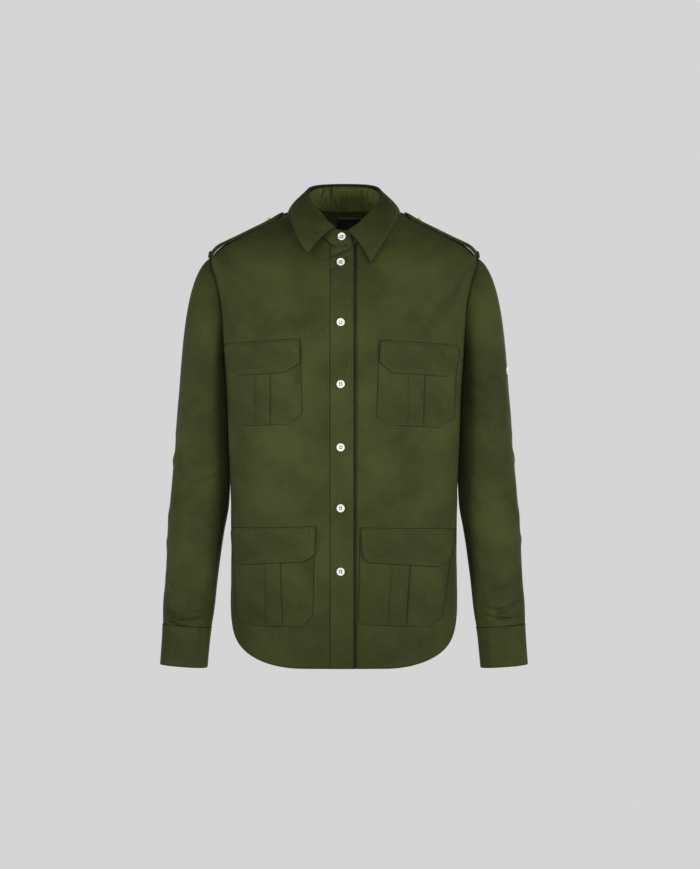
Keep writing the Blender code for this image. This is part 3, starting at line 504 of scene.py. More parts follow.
def front_domain(side, edge_x, across=76, neck_rows=24):
    """A front's places as girth and height: straight rows up to the chest, then a patch up to the yoke."""
    columns = np.linspace(0, 1, across)
    chest_side = side_girth(AT_CHEST)[0] - SEAM / 2
    girth = edge_x + (chest_side - edge_x) * columns
    skirt = []
    for part in np.linspace(0, 1, SKIRT_ROWS):
        hem = hem_height(girth, FRONT_HEM)
        height = hem + (CHEST_LEVEL - hem) * part
        end = side_girth(height)[-1] - SEAM / 2
        skirt.append(np.stack([edge_x + (end - edge_x) * columns, height], -1))
    skirt = np.array(skirt)
    neck_end = math.acos(-(YOKE_FRONT_Y - SEAM) / NECK_FRONT)
    neck = neckline(np.linspace(math.asin(edge_x / NECK_HALF_WIDTH), neck_end, neck_rows))
    centre = np.linspace(CHEST_LEVEL, neck[0, 2], CHEST_ROWS)
    left = np.concatenate([np.stack([np.full(CHEST_ROWS, edge_x), centre], -1), place_of(neck[1:])])
    arm = armhole(np.linspace(math.pi, seam_end_turn(YOKE_FRONT_Y - SEAM, False), len(left)), 1)
    right = place_of(arm)
    right[0] = skirt[-1, -1]
    seam_x = np.linspace(neck[-1, 0], arm[-1, 0], across)
    top = place_of(top_over(seam_x, YOKE_FRONT_Y - SEAM))
    top[0], top[-1] = left[-1], right[-1]
    upper = between([left, right, skirt[-1], top], np.linspace(0, 1, len(left)), columns)
    domain = np.concatenate([skirt, upper[1:]])
    domain[..., 0] *= side
    return domain


right_places = front_domain(-1, -PLACKET_LEFT - UNDER_PLACKET)
right_front = draped(around(right_places[..., 0], right_places[..., 1]))[:, ::-1]
cloth("front_right_cloth", right_front, "front_right", line=SOFT_LINE)

left_places = front_domain(1, PLACKET_RIGHT + 1.5)
left_form = around(left_places[..., 0], left_places[..., 1])
sink = PLACKET_WALL - PLACKET_PROUD + SEAM
sinking = 1 - smooth_step(left_form[..., 0], PLACKET_RIGHT + 2, PLACKET_RIGHT + 9)
left_front = draped(left_form, -sink * sinking)


def strip(xs, lift):
    """Rows of the front at some places across it, from the hem to the neckline."""
    made = np.array([around(xs, np.full(len(xs), height)) for height in lap_heights])
    made[-1] = neckline(np.arcsin(xs / NECK_HALF_WIDTH))
    return draped(made, lift)


# The left front runs on beneath the placket, as extra faces joined to its edge
LAP_COLUMNS = 10
lap_rows = SKIRT_ROWS + CHEST_ROWS - 1
lap_x = np.linspace(PLACKET_LEFT + 3.0, PLACKET_RIGHT - 1, LAP_COLUMNS)
lap_heights = left_form[:lap_rows, 0, 2]
lap = strip(lap_x, -sink)
rows, columns = left_front.shape[:2]
lap_index = np.arange(lap_rows * LAP_COLUMNS).reshape(lap_rows, LAP_COLUMNS) + rows * columns
lap_index = np.concatenate([lap_index, (np.arange(lap_rows) * columns)[:, None]], 1)
lap_faces = lap_index.ravel()[grid_faces(lap_rows, LAP_COLUMNS + 1)]
lap_extra = (lap.reshape(-1, 3), np.tile(lap_x - PLACKET_RIGHT, lap_rows),
             np.repeat(lap_heights - FRONT_HEM, LAP_COLUMNS))
# A painted shadow band on the left front's first two columns, beside the placket's free edge
beside = np.tile(0.7 - 0.7 * smooth_step(np.arange(columns), 0, 2), (rows, 1))
cloth("front_left_cloth", left_front, "front_left", extra=lap_extra, extra_faces=lap_faces, line=SOFT_LINE,
      shadow_lines=beside)

placket_x = np.linspace(PLACKET_LEFT, PLACKET_RIGHT, 19)
# Its free edge stands off the left front and throws a shadow there
curl = PLACKET_CURL * smooth_step(placket_x, PLACKET_RIGHT - 9, PLACKET_RIGHT)
placket_grid = strip(placket_x, PLACKET_PROUD + curl)
# A painted shadow line on the placket's last 2.5 mm, along its free edge
free_edge_shadow = np.tile(smooth_step(placket_x, PLACKET_RIGHT - 2.5, PLACKET_RIGHT), (len(placket_grid), 1))
cloth("placket_cloth", placket_grid, "placket", PLACKET_WALL, line=0.0, shadow_lines=free_edge_shadow)

# %% [markdown]
# The back and the yoke. The back hangs from a level seam across the shoulder blades. The yoke is one
# piece that goes over both shoulders. Its patch is first blended between its edges in space and then
# pushed out to the form.

# %% Back and yoke
BACK_COLUMNS = 111
columns_back = np.linspace(-1, 1, BACK_COLUMNS)
back_rows = []
chest_girth = side_girth(AT_CHEST, True)[0] - SEAM / 2
for part in np.linspace(0, 1, 100):
    hem = hem_height(np.abs(columns_back) * chest_girth, BACK_HEM)
    height = hem + (CHEST_LEVEL - hem) * part
    end = side_girth(height[-1:], True)[0] - SEAM / 2
    back_rows.append(np.stack([columns_back * end, height], -1))
back_arm = armhole(np.linspace(math.pi, seam_end_turn(YOKE_BACK_HEIGHT, True), 31)[1:], 1)
for point, end in zip(back_arm, girth_of(back_arm, True)):
    back_rows.append(np.stack([columns_back * end, np.full(BACK_COLUMNS, point[2])], -1))
back_places = np.array(back_rows)
back_grid = draped(around(back_places[..., 0], back_places[..., 1], True))[:, ::-1]
cloth("back_cloth", back_grid, "back", line=SOFT_LINE)

YOKE_SEAM_POINTS, YOKE_NECK_POINTS, YOKE_ROWS = 36, 30, 34
neck_end = math.acos(-(YOKE_FRONT_Y + SEAM) / NECK_FRONT)
yoke_neck = neckline(np.linspace(neck_end, 2 * math.pi - neck_end, 2 * YOKE_NECK_POINTS + 1))
yoke_turns = np.linspace(seam_end_turn(YOKE_BACK_HEIGHT + 2 * SEAM, True) - 2 * math.pi,
                         seam_end_turn(YOKE_FRONT_Y + SEAM, False), YOKE_ROWS)
yoke_arm = armhole(yoke_turns, 1)
seam_part = np.linspace(0, 1, YOKE_SEAM_POINTS + 1)[1:]
seam_x = yoke_neck[0, 0] + (yoke_arm[-1, 0] - yoke_neck[0, 0]) * seam_part
yoke_seam = top_over(seam_x, YOKE_FRONT_Y + SEAM)
yoke_seam[-1] = yoke_arm[-1]
mirror = np.array([-1, 1, 1])
yoke_top = np.concatenate([yoke_seam[::-1], yoke_neck, yoke_seam * mirror])
yoke_far = girth_of(yoke_arm[:1], True)[0]
yoke_bottom = around(np.linspace(yoke_far, -yoke_far, len(yoke_top)), yoke_arm[0, 2], True)
yoke_patch = between([yoke_arm, yoke_arm * mirror, yoke_bottom, yoke_top],
                     np.linspace(0, 1, YOKE_ROWS), np.linspace(0, 1, len(yoke_top)))
yoke_from = yoke_patch * np.array([0.8, 0, 0]) + np.array([0, 0, -110])
yoke_form = reach(yoke_from, unit(yoke_patch - yoke_from))
yoke_form[0], yoke_form[-1] = yoke_bottom, yoke_top
yoke_form[:, 0], yoke_form[:, -1] = yoke_arm, yoke_arm * mirror
cloth("yoke_cloth", draped(yoke_form), "yoke", line=SOFT_LINE)

# %% [markdown]
# Sleeves and cuffs. A sleeve is set into the armhole and falls to the cuff. Near the top each thread
# leaves the seam outwards and bends down into the arm, which is a Hermite curve between the seam and a
# ring. Below it the sleeve is a stack of tilted ovals. Elbow and wrist folds slant round the arm, and
# none repeats another.

# %% Sleeves and cuffs
# Height, distance out to the ring's middle, half width, y of its middle, half depth
SLEEVE = np.array([
    (-722, 254.8, 37, -26, 39), (-657, 249.5, 38.6, -22, 42), (-640, 248, 40, -20, 45),
    (-580, 243, 41.5, -9, 49), (-504, 236.3, 45, 3, 54), (-466, 231.6, 46.8, 12, 57),
    (-436, 229.6, 46.6, 17, 59), (-400, 228, 45.2, 21, 61), (-350, 227.3, 42.6, 23, 64),
    (-300, 226.2, 39.4, 22, 66),
], float)
SLEEVE_POWER, SLEEVE_TILT, HEAD_END = 2.6, 0.075, -300
CUFF_SEAM, CUFF_BOTTOM, CUFF_WALL = -657, -721, 1.8
CUFF_OPENING, CUFF_OVERLAP = math.radians(75), math.radians(30)
SLEEVE_DEPTH, HEAD_PULL, LAP_FROM, LAP_TO, DENTS_UP = 1.9, 2.6, 1.1, 0.25, 31
# Turn in degrees (0 outside, 90 front), height, slant as fall in millimetres for each radian, half turn, half
# height, rise
SLEEVE_CREASES = (
    (70, -330, 26, 0.9, 6, 1), (60, -372, -20, 0.8, 7, -0.9), (95, -418, 22, 1, 6, 1.3),
    (75, -438, 30, 0.8, 5, -1), (85, -478, -24, 1, 6, 1.3), (60, -500, -30, 0.7, 5, -1),
    (100, -532, 18, 0.9, 7, 1), (80, -572, 24, 0.8, 6, -0.9), (70, -596, -16, 0.9, 5, 1.1),
    (110, -624, 14, 0.6, 4, 1.3), (65, -632, -22, 0.5, 4, -2.5), (88, -641, 12, 0.7, 3.5, 2.6),
    (70, -650, -10, 0.5, 3, -2.3), (120, -648, 18, 0.4, 3, 1.2), (-60, -430, 28, 1, 7, 1.4),
    (-90, -462, -20, 0.9, 6, -1.2), (-75, -508, 24, 0.9, 7, 1.2), (-100, -560, -18, 0.8, 6, 1),
    (-80, -618, 16, 0.7, 5, -1.1), (5, -395, 30, 0.5, 7, 0.8), (-10, -520, -28, 0.5, 7, 0.8),
    (150, -270, 30, 0.6, 6, 0.9),
)


def mirrored(grid, flip):
    """The grid with its columns turned round on one side, so that it faces out."""
    return grid[:, ::-1] if flip else grid


def sleeve_ring(turn, height, side, out=0.0):
    """A turn's cosine and sine to the power 2 over squareness, times half width and depth, and tilted."""
    turn, height, out = np.broadcast_arrays(np.asarray(turn, float), np.asarray(height, float), out)
    middle, half, back, depth = [through(height, SLEEVE[:, 0], SLEEVE[:, column]) for column in range(1, 5)]
    power = 2 / SLEEVE_POWER
    across = np.sign(np.cos(turn)) * np.abs(np.cos(turn)) ** power * (half + out)
    along = np.sign(np.sin(turn)) * np.abs(np.sin(turn)) ** power * (depth + out)
    return np.stack([side * (middle + across), back - along, height + SLEEVE_TILT * across], -1)


def sleeve_fold(turn, height):
    """The solids' elbow and wrist folds: bells across slanting lines, faded towards the body."""
    front = np.sin(turn)
    elbow = np.exp(-(((height + 455 + 30 * np.cos(turn)) / 15) ** 2)) * (0.5 + 0.5 * front)
    above = np.exp(-(((height + 405 - 24 * np.cos(turn)) / 17) ** 2)) * (0.5 - 0.4 * front)
    wrist = np.exp(-(((height + 610 + 14 * np.sin(turn + 0.6)) / 13) ** 2))
    calm = 1 - 0.9 * smooth_step(-np.cos(turn), 0.2, 0.7)
    return calm * (2.6 * elbow - 2.2 * above + 2.4 * wrist * np.maximum(front, 0.2))


def sleeve_creases(turn, height, side):
    """The listed creases of an arm, a little different on each side, faded near the body."""
    total = np.zeros(np.broadcast(turn, height).shape)
    for number, (centre, z, slant, half, width, rise) in enumerate(SLEEVE_CREASES):
        shift = side * (5 + 3 * math.sin(number * 2.1))
        away = (turn - math.radians(centre + shift) + math.pi) % (2 * math.pi) - math.pi
        across = height - z - shift * 0.9 - slant * away
        total = total + SLEEVE_DEPTH * rise * np.exp(-((across / width) ** 2) - (away / half) ** 4)
    total = total + 0.30 * np.sin(3 * turn + height / 33) * np.sin(height / 41 + side)
    total = total + 0.14 * np.sin(7 * turn - height / 19) * np.sin(height / 23)
    calm = 1 - smooth_step(-np.cos(turn), 0.3, 0.75)
    return total * calm * smooth_step(-height, 235, 300)


def folds_at(turns, height, side):
    return sleeve_fold(turns, height) + sleeve_creases(turns, height, side)


def sleeve_grid(side, turns, head_parts, heights):
    """Hermite curves from the seam to the first ring, then rings down to the cuff."""
    seam = armhole(turns, side) + np.array([side * SEAM, 0, 0])
    ring = sleeve_ring(turns, HEAD_END, side)
    top = (1 + np.cos(turns)) / 2
    leave = np.stack([side * (0.04 + 0.87 * top), -0.30 * np.sin(turns), -0.95 + 0.53 * top], -1)
    leave = unit(leave) * (1 - 0.39 * top[:, None])
    arrive = unit(sleeve_ring(turns, HEAD_END - 2.0, side) - ring)
    span = np.linalg.norm(ring - seam, axis=-1, keepdims=True)
    rows = []
    for part in head_parts:
        a, b = 2 * part**3 - 3 * part**2 + 1, part**3 - 2 * part**2 + part
        c, d = -2 * part**3 + 3 * part**2, part**3 - part**2
        pull = np.array([side * HEAD_PULL, 0, 0]) * ((1 - top) ** 3 * math.sin(math.pi * part))[:, None]
        rows.append(a * seam + b * span * leave + c * ring + d * span * arrive - pull)
    rows += [sleeve_ring(turns, height, side, folds_at(turns, height, side)) for height in heights]
    return np.array(rows)[::-1]


SLEEVE_TURNS = np.linspace(0, 2 * math.pi, 112, endpoint=False)
# The rows lie closer near the wrist, where the folds are short
FINE_FROM = -590
SLEEVE_HEIGHTS = np.concatenate([np.linspace(HEAD_END, FINE_FROM, 74)[1:],
                                 np.linspace(FINE_FROM, CUFF_SEAM + SEAM, 40)[1:]])
for side, name in ((-1, "right"), (1, "left")):
    grid = sleeve_grid(side, SLEEVE_TURNS, np.linspace(0, 1, 40), SLEEVE_HEIGHTS)
    cloth(f"sleeve_{name}_cloth", mirrored(grid, side > 0), f"sleeve_{name}", closed=True, line=SOFT_LINE)
    start = -CUFF_OPENING
    turns = start + np.linspace(0, 2 * math.pi + CUFF_OVERLAP, 130)
    end = start + 2 * math.pi
    lift = (CUFF_WALL + SEAM) * smooth_step(turns, end - LAP_FROM, end - LAP_TO)
    dents = 1.2 * np.sin(5 * turns + side) + 0.55 * np.sin(9 * turns + 2 * side) + 0.25 * np.sin(13 * turns)
    dents = dents * smooth_step(np.sin(turns), 0.1, 0.7)
    heights = np.linspace(CUFF_BOTTOM, CUFF_SEAM - SEAM, 22)
    shares = 0.5 + 0.5 * smooth_step(heights, CUFF_BOTTOM, CUFF_BOTTOM + DENTS_UP)
    grid = np.array([sleeve_ring(turns, height, side, 0.6 + lift + dents * share)
                     for height, share in zip(heights, shares)])
    cloth(f"cuff_{name}_cloth", mirrored(grid, side > 0), f"cuff_{name}", CUFF_WALL, line=SOFT_LINE)

# %% [markdown]
# The collar. A stand is sewn round the neck and buttoned at the throat, and the leaf folds over it and
# lies down on the shoulders, ending in two points. Its surface is a Bezier curve from the fold to the
# leaf's edge, swept round the neck, so the fold is round and the leaf rolls as ironed cotton does.

# %% Collar
STAND_WALL, STAND_LAP, LEAF_WALL, GATHER_DEPTH, FOLD_WIDTH = 1.6, 0.19, 1.6, 1.6, 3.0
LEAF_OUT, LEAF_UP = 5, 7
STAND_TOP = np.array([(0, -33), (0.2, -30), (0.46, -19), (0.87, -1), (1.57, 27), (2.3, 43), (3.15, 47.5)])
COLLAR_STOPS = np.array([-1, -0.86, -0.68, -0.42, -0.2, 0, 0.2, 0.42, 0.68, 0.86, 1])
# The fold and the leaf's edge, from the wearer's right end round the back to the left end
ROLL = np.array([
    (-12.5, -77.5, -27), (-27, -68, -15), (-46, -46, 3), (-61.5, 3, 30), (-50, 47, 47), (0, 60, 51),
    (50, 47, 47), (62.5, 3, 28), (49, -46, 3), (28, -68, -16), (4.5, -79.5, -33),
], float)
EDGE = np.array([
    (-56, -94, -72), (-71, -82, -50), (-84.5, -50, -17), (-86, 6, 7.5), (-60, 57, 4), (0, 72.5, -3),
    (60, 57, 4), (87, 6, 7.5), (82, -54, -20), (62, -84, -54), (41.5, -97, -86),
], float)
# Gathers across the back of the stand: place along it, lean to the top, width, height as a share, rise
GATHERS = (
    (-41, 6, 2.2, 0.7, 2.2), (-35, 12, 2, 0.6, 3), (-27, -8, 2.4, 0.55, 2.6), (-19, 5, 1.8, 0.75, 3.4),
    (-12, -12, 2.6, 0.5, 2.2), (-1, 2, 2, 0.35, 2.6), (9, -6, 3, 0.7, 1.6), (20, 8, 2.6, 0.6, 2),
    (28, -10, 2, 0.5, 3), (34, 6, 1.8, 0.65, 3.2), (40, 14, 2.2, 0.5, 3.2), (46, -4, 2, 0.6, 2.4),
)

across = np.linspace(-1, 1, 360)
turn = math.pi - across * (math.pi + STAND_LAP)
low = neckline(turn) + np.array([0, 0, 3.5 * SEAM])
round_front = np.abs((turn + math.pi) % (2 * math.pi) - math.pi)
squeeze = np.where(np.cos(turn) > 0, 0.9, 0.95)
stand_top = through(round_front, STAND_TOP[:, 0], STAND_TOP[:, 1])
high = np.stack([low[:, 0] * 0.83, low[:, 1] * squeeze, stand_top], -1)
lap = (smooth_step(-across, 0.8, 0.9) - smooth_step(across, 0.8, 0.9)) * (STAND_WALL + SEAM + 0.1) / 2
stand_rows = np.linspace(0, 1, 14)[:, None, None]
stand_grid = low * (1 - stand_rows) + high * stand_rows
stand_grid[..., 1] -= lap
up = stand_rows[..., 0]
gathers = 0
for x, lean, width, middle, rise in GATHERS:
    away = (stand_grid[..., 0] - x - lean * (up - 0.5)) / width
    gathers = gathers + rise * np.exp(-(away**2) - ((up - middle) / 0.34) ** 4)
stand_grid[..., 1] -= GATHER_DEPTH * gathers * smooth_step(-np.cos(turn), 0.1, 0.5)
stand = cloth("collar_stand_cloth", stand_grid[:, ::-1], "collar_stand", STAND_WALL, line=SOFT_LINE)
# The stand's inner face takes the lightened twill: painted light inside the collar, on top of the wrong
# side's paleness
stand.data.materials.append(inner_side_lightened_twill)
stand.modifiers["wall"].material_offset = 1

columns = np.linspace(-1, 1, 200)
roll, edge = [np.stack([through(columns, COLLAR_STOPS, table[:, i]) for i in range(3)], -1)
              for table in (ROLL, EDGE)]
out = unit((edge - roll) * np.array([1, 1, 0]))
bulge = 0.5 * (roll + edge) + out * LEAF_OUT + np.array([0, 0, LEAF_UP])
t = (1 - np.linspace(0, 1, 34))[:, None, None]
leaf_grid = (1 - t) ** 2 * roll + 2 * t * (1 - t) * bulge + t**2 * edge
wave = 0.30 * np.sin(columns * 14 + 0.7) + 0.22 * np.sin(columns * 23)
leaf_grid = leaf_grid + out * (np.sin(math.pi * t[..., 0]) * wave)[..., None]
# The cloth turns over the stand's top in half an ellipse, which narrows to nothing at the collar's two ends
bend = np.linspace(0, math.pi, 9)[1:, None]
fold_width = FOLD_WIDTH * (1 - smooth_step(np.abs(columns), 0.70, 0.92))
fold_rows = roll - out * ((1 - np.cos(bend)) * fold_width)[..., None]
fold_rows[..., 2] += np.sin(bend) * fold_width * 0.6 - (1 - np.cos(bend)) * fold_width * 0.25
cloth("collar_leaf_cloth", np.concatenate([leaf_grid, fold_rows])[:, ::-1], "collar_leaf", LEAF_WALL)

# %% [markdown]
# Patch pockets with a box pleat, and their flaps. Each is the front's own form inside an outline of six
# corners, moved out by the cloths beneath it. The pleat is pressed from the pocket's own cloth, so it is
# raised on the same grid. The flap is sewn down above the pocket's mouth and rolls out over it.

# %% Pockets and flaps
# For each pocket its flap and its bag, each as six corners in x and z: left top, right top, right low,
# right end, left end, left low. Then the pleat's two sides at the bag's top and at its bottom
POCKETS = {
    "chest_{}_right": (
        ((-189, -210), (-68, -204), (-68, -242), (-92, -258), (-163, -261), (-184.5, -243)),
        ((-189, -222), (-67.5, -217), (-64.5, -321), (-86.5, -339), (-166, -340.5), (-183, -319)),
        ((-137.5, -116), (-137.5, -115.5))),
    "chest_{}_left": (
        ((56, -206), (181.5, -213), (177.5, -249), (157, -263), (74.5, -258), (54.5, -240)),
        ((54.5, -219), (180, -226), (175.5, -329), (150, -344), (68, -339), (50.5, -326)),
        ((103, 126.5), (100.5, 123.5))),
    "lower_{}_right": (
        ((-178, -501), (-43.5, -497), (-45, -541), (-61, -553), (-165.5, -559), (-174.5, -552)),
        ((-178, -514), (-45, -510), (-48, -637), (-65, -655), (-156, -654), (-171, -642)),
        ((-124.5, -102.5), (-121, -96.5))),
    "lower_{}_left": (
        ((24.5, -499), (175.5, -502), (169, -547), (148.5, -562), (38, -554), (28, -544)),
        ((24.5, -512), (175, -515), (156, -642), (135.5, -656), (27.5, -651), (22.5, -646)),
        ((79.5, 105.5), (69.5, 96.5))),
}
POCKET_WALL, PLEAT_RISE, PLEAT_EDGE, FLAP_ROLL, WIDEST = 1.2, 1.0, 0.9, 9, 0.992
# The grid's columns beside the pleat, at each of its edges, on it and where there is none, and then the two
# columns just outside it
BESIDE, AT_EDGE, ON_PLEAT, PLAIN = 18, 3, 8, 44
PLEAT_COLUMNS = (BESIDE, BESIDE + 2 * AT_EDGE + ON_PLEAT)
FLAP_LIFT = POCKET_WALL + PLEAT_RISE + 2 * SEAM


def front_form(x, z):
    """The form's front at x and z, where y follows from x by the oval's own power."""
    half, front, _, power = level(z)
    share = np.minimum(np.abs(x) / half, WIDEST)
    return np.stack([np.sign(x) * share * half, -front * (1 - share**power) ** (1 / power), z], -1)


def outline_sides(outline, rows):
    """The left and right edges of an outline, row by row from its bottom to its top, chamfers included."""
    left_top, right_top, right_low, right_end, left_end, left_low = [np.array(c, float) for c in outline]
    drop = np.linalg.norm(right_low - right_end) / (np.linalg.norm(right_top - right_low) + 1e-9)
    bend = 1 / (1 + drop)
    stops = [0, bend, 1]
    part = np.unique(np.concatenate([np.linspace(0, bend, rows - 12), np.linspace(bend, 1, 13)]))
    left = np.stack([np.interp(part, stops, [left_top[i], left_low[i], left_end[i]]) for i in (0, 1)], -1)
    right = np.stack([np.interp(part, stops, [right_top[i], right_low[i], right_end[i]]) for i in (0, 1)], -1)
    return left[::-1], right[::-1]


def pocket_grid(outline, pleat=None, rows=56, lift=lambda drop: np.full_like(drop, SEAM)):
    """Rows between the outline's sides, with extra columns at a pleat's two edges, moved out by lift."""
    left, right = outline_sides(outline, rows)
    part = (outline[0][1] - left[:, 1]) / (outline[0][1] - outline[4][1])
    stops, rises = [np.zeros_like(part)], [0.0]
    if pleat:
        span = right[:, 0] - left[:, 0]
        for i in (0, 1):
            x = pleat[0][i] + (pleat[1][i] - pleat[0][i]) * part
            at = (x - left[:, 0]) / span
            half = PLEAT_EDGE / 2 / span
            stops += [at - half, at + half]
            rises += [0.0, 1.0] if i == 0 else [1.0, 0.0]
    stops.append(np.ones_like(part))
    rises.append(0.0)
    counts = [BESIDE, AT_EDGE, ON_PLEAT, AT_EDGE, BESIDE] if pleat else [PLAIN]
    across, rise = [], []
    for i, count in enumerate(counts):
        u = np.linspace(0, 1, count + 1)[(1 if i else 0) :]
        across.append(stops[i][:, None] * (1 - u) + stops[i + 1][:, None] * u)
        rise.append(np.broadcast_to(rises[i] * (1 - u) + rises[i + 1] * u, across[-1].shape))
    across, rise = np.concatenate(across, 1), np.concatenate(rise, 1)
    place = left[:, None] * (1 - across[..., None]) + right[:, None] * across[..., None]
    top = outline[0][1] + (outline[1][1] - outline[0][1]) * across
    layers = lift(top - place[..., 1]) + rise * PLEAT_RISE
    edge = np.minimum(across, 1 - across) * np.abs(outline[1][0] - outline[0][0])
    low_edge = np.minimum(edge, (place[..., 1] - place[:1, :, 1]))
    puff = 0.5 * smooth_step(low_edge, 1, 7) * (1 - 0.6 * smooth_step(low_edge, 7, 22))
    return draped(front_form(place[..., 0], place[..., 1]), layers + (puff if pleat else 0.4 * puff))


def flap_lift(drop):
    return SEAM + (FLAP_LIFT - SEAM) * smooth_step(drop, 0, FLAP_ROLL)


for name, (flap, bag, pleat) in POCKETS.items():
    node = name.format("pocket")
    grid = pocket_grid(bag, pleat)
    # Painted shadow lines along the pleat's two edges, darker on its right edge than on its left
    shadow_lines = np.zeros(grid.shape[:2])
    shadow_lines[:, PLEAT_COLUMNS[0]], shadow_lines[:, PLEAT_COLUMNS[1]] = 0.35, 1.0
    cloth(node + "_cloth", grid, node, POCKET_WALL, shadow_lines=shadow_lines)
    node = name.format("flap")
    cloth(node + "_cloth", pocket_grid(flap, rows=40, lift=flap_lift), node, POCKET_WALL)

# %% [markdown]
# Shoulder straps, the sleeve plackets and the neck label. A strap is a doubled strip sewn in at the
# sleeve's seam. It stands up in a small loop there, arches over the shoulder and is buttoned near the
# collar. It is a profile carried along the shoulder, over the form's own height.

# %% Straps, sleeve plackets and label
# Distance out along the shoulder, height over it, half width
STRAP = np.array([(206, 2.2, 20), (211, 3.2, 20), (213.5, 5.8, 20), (210.5, 8.4, 20), (202, 8.2, 19.5),
                  (188, 5.6, 19), (165, 3.4, 18), (138, 2.9, 17), (117, 2.7, 16.5), (104, 2.6, 15),
                  (96, 2.5, 1.2)], float)
STRAP_WALL, STRAP_MIDDLE_Y, STRAP_SAG, STRAP_LIFT, SHOULDER_END = 1.8, -8, 8, 2.8, 209
SLIT_TURNS, SLIT_BOTTOM, SLIT_TOP, SLIT_POINT = (-68, -38), -655, -530, 12
LABEL_SIDES, LABEL_ENDS, LABEL_WALL = (-11.5, 34), (-22, -2), 0.6


def strap_grid(side, rows=90, columns=26):
    """For each part of the path, the shoulder's height at that distance, plus the strap's own rise."""
    part, width = np.meshgrid(np.linspace(0, 1, rows), np.linspace(-1, 1, columns), indexing="ij")
    stops = np.linspace(0, 1, len(STRAP))
    out, height, half = [through(part, stops, STRAP[:, column]) for column in range(3)]
    x = side * np.minimum(out, SHOULDER_END)
    base, middle = top_over(x, STRAP_MIDDLE_Y + width * half), top_over(x, STRAP_MIDDLE_Y)
    base[..., 2] = np.maximum(base[..., 2], middle[..., 2] - STRAP_SAG * width**2)
    base[..., 0] += side * np.maximum(out - SHOULDER_END, 0)
    near = np.minimum(height, STRAP_LIFT)[..., None]
    return mirrored(base + normals(base) * near + np.array([0, 0, 1]) * (height[..., None] - near), side < 0)


for side, name in ((-1, "right"), (1, "left")):
    cloth(f"epaulette_{name}_cloth", strap_grid(side), f"epaulette_{name}", STRAP_WALL, line=SOFT_LINE)
    turns = np.radians(np.linspace(*SLIT_TURNS, 16))
    slit_rows = []
    for height in np.linspace(SLIT_BOTTOM, SLIT_TOP, 50):
        close = smooth_step(height, SLIT_TOP + 1 - SLIT_POINT, SLIT_TOP + 1)
        shrunk = turns * (1 - close) + turns.mean() * close
        lift = folds_at(shrunk, height, side) + SEAM + POCKET_WALL
        slit_rows.append(sleeve_ring(shrunk, height, side, lift))
    grid = mirrored(np.array(slit_rows), side > 0)
    cloth(f"sleeve_placket_{name}_cloth", grid, f"sleeve_placket_{name}", POCKET_WALL)

label_x, label_z = np.meshgrid(np.linspace(*LABEL_SIDES, 24), np.linspace(*LABEL_ENDS, 12))
label_form = around(label_x, label_z, True)
label_inside = label_form - normals(label_form) * (WALL + SEAM + LABEL_WALL)
cloth("neck_label_cloth", label_inside, "neck_label", LABEL_WALL, finish=satin)

# %% [markdown]
# Buttons of mother of pearl: discs turned from shell, with a raised rim, a dished middle and four holes,
# sewn on with two bars of thread. A lathe profile gives the disc and a Boolean drills the holes once.
# Each copy is then set on the flat back of its own solid, whose direction is found as the one in which
# the solid is thinnest.

# %% Buttons
BUTTON_RADIUS, BUTTON_DEPTH, HOLE_RADIUS, HOLE_OUT, BUTTON_SIDES = 6.3, 2.6, 1.2, 2.2, 56
BAR_ROWS, BAR_SIDES, BAR_LOW, BAR_RISE, SMALL = 9, 6, 1.35, 0.75, 0.9
# Share of the radius, height over the back in shares of the depth
PROFILE = np.array([
    (0, 0.62), (0.3, 0.62), (0.5, 0.64), (0.6, 0.74), (0.7, 0.9), (0.8, 0.98), (0.9, 0.98), (0.97, 0.86),
    (1, 0.66), (1, 0.36), (0.95, 0.16), (0.82, 0.02), (0.5, 0), (0, 0),
])


def lathe(profile, sides):
    """Points at radius times cosine and sine of even turns, with one point at each pole."""
    turns = np.linspace(0, 2 * math.pi, sides, endpoint=False)
    ring = np.stack([np.cos(turns), np.sin(turns)], -1)
    body = [np.concatenate([ring * r * BUTTON_RADIUS, np.full((sides, 1), z * BUTTON_DEPTH)], 1)
            for r, z in profile[1:-1]]
    poles = np.array([(0, 0, profile[0][1] * BUTTON_DEPTH), (0, 0, 0.0)])
    points = np.concatenate([*body, poles])
    faces = grid_faces(len(body), sides, True)[:, ::-1].tolist()
    last = len(body) * sides
    near, far = np.arange(sides), np.arange(sides) + (len(body) - 1) * sides
    faces += [[last, int(a), int(b)] for a, b in zip(near, np.roll(near, -1))]
    faces += [[last + 1, int(b), int(a)] for a, b in zip(far, np.roll(far, -1))]
    return points, faces


def drilled_button():
    """The turned disc less four short rods."""
    points, faces = lathe(PROFILE, BUTTON_SIDES)
    mesh = bpy.data.meshes.new("disc")
    mesh.from_pydata(points.tolist(), [], faces)
    disc = new_object("disc", mesh)
    rods = bmesh.new()
    for quarter in range(4):
        turn = math.pi / 4 + quarter * math.pi / 2
        place = Matrix.Translation((HOLE_OUT * math.cos(turn), HOLE_OUT * math.sin(turn), BUTTON_DEPTH / 2))
        bmesh.ops.create_cone(rods, cap_ends=True, segments=14, radius1=HOLE_RADIUS, radius2=HOLE_RADIUS,
                              depth=3 * BUTTON_DEPTH, matrix=place)
    drill_mesh = bpy.data.meshes.new("drill")
    rods.to_mesh(drill_mesh)
    rods.free()
    drill = new_object("drill", drill_mesh)
    cut = disc.modifiers.new("holes", "BOOLEAN")
    cut.operation, cut.object = "DIFFERENCE", drill
    done = bpy.data.meshes.new_from_object(disc.evaluated_get(bpy.context.evaluated_depsgraph_get()))
    bpy.data.objects.remove(disc)
    bpy.data.objects.remove(drill)
    return done


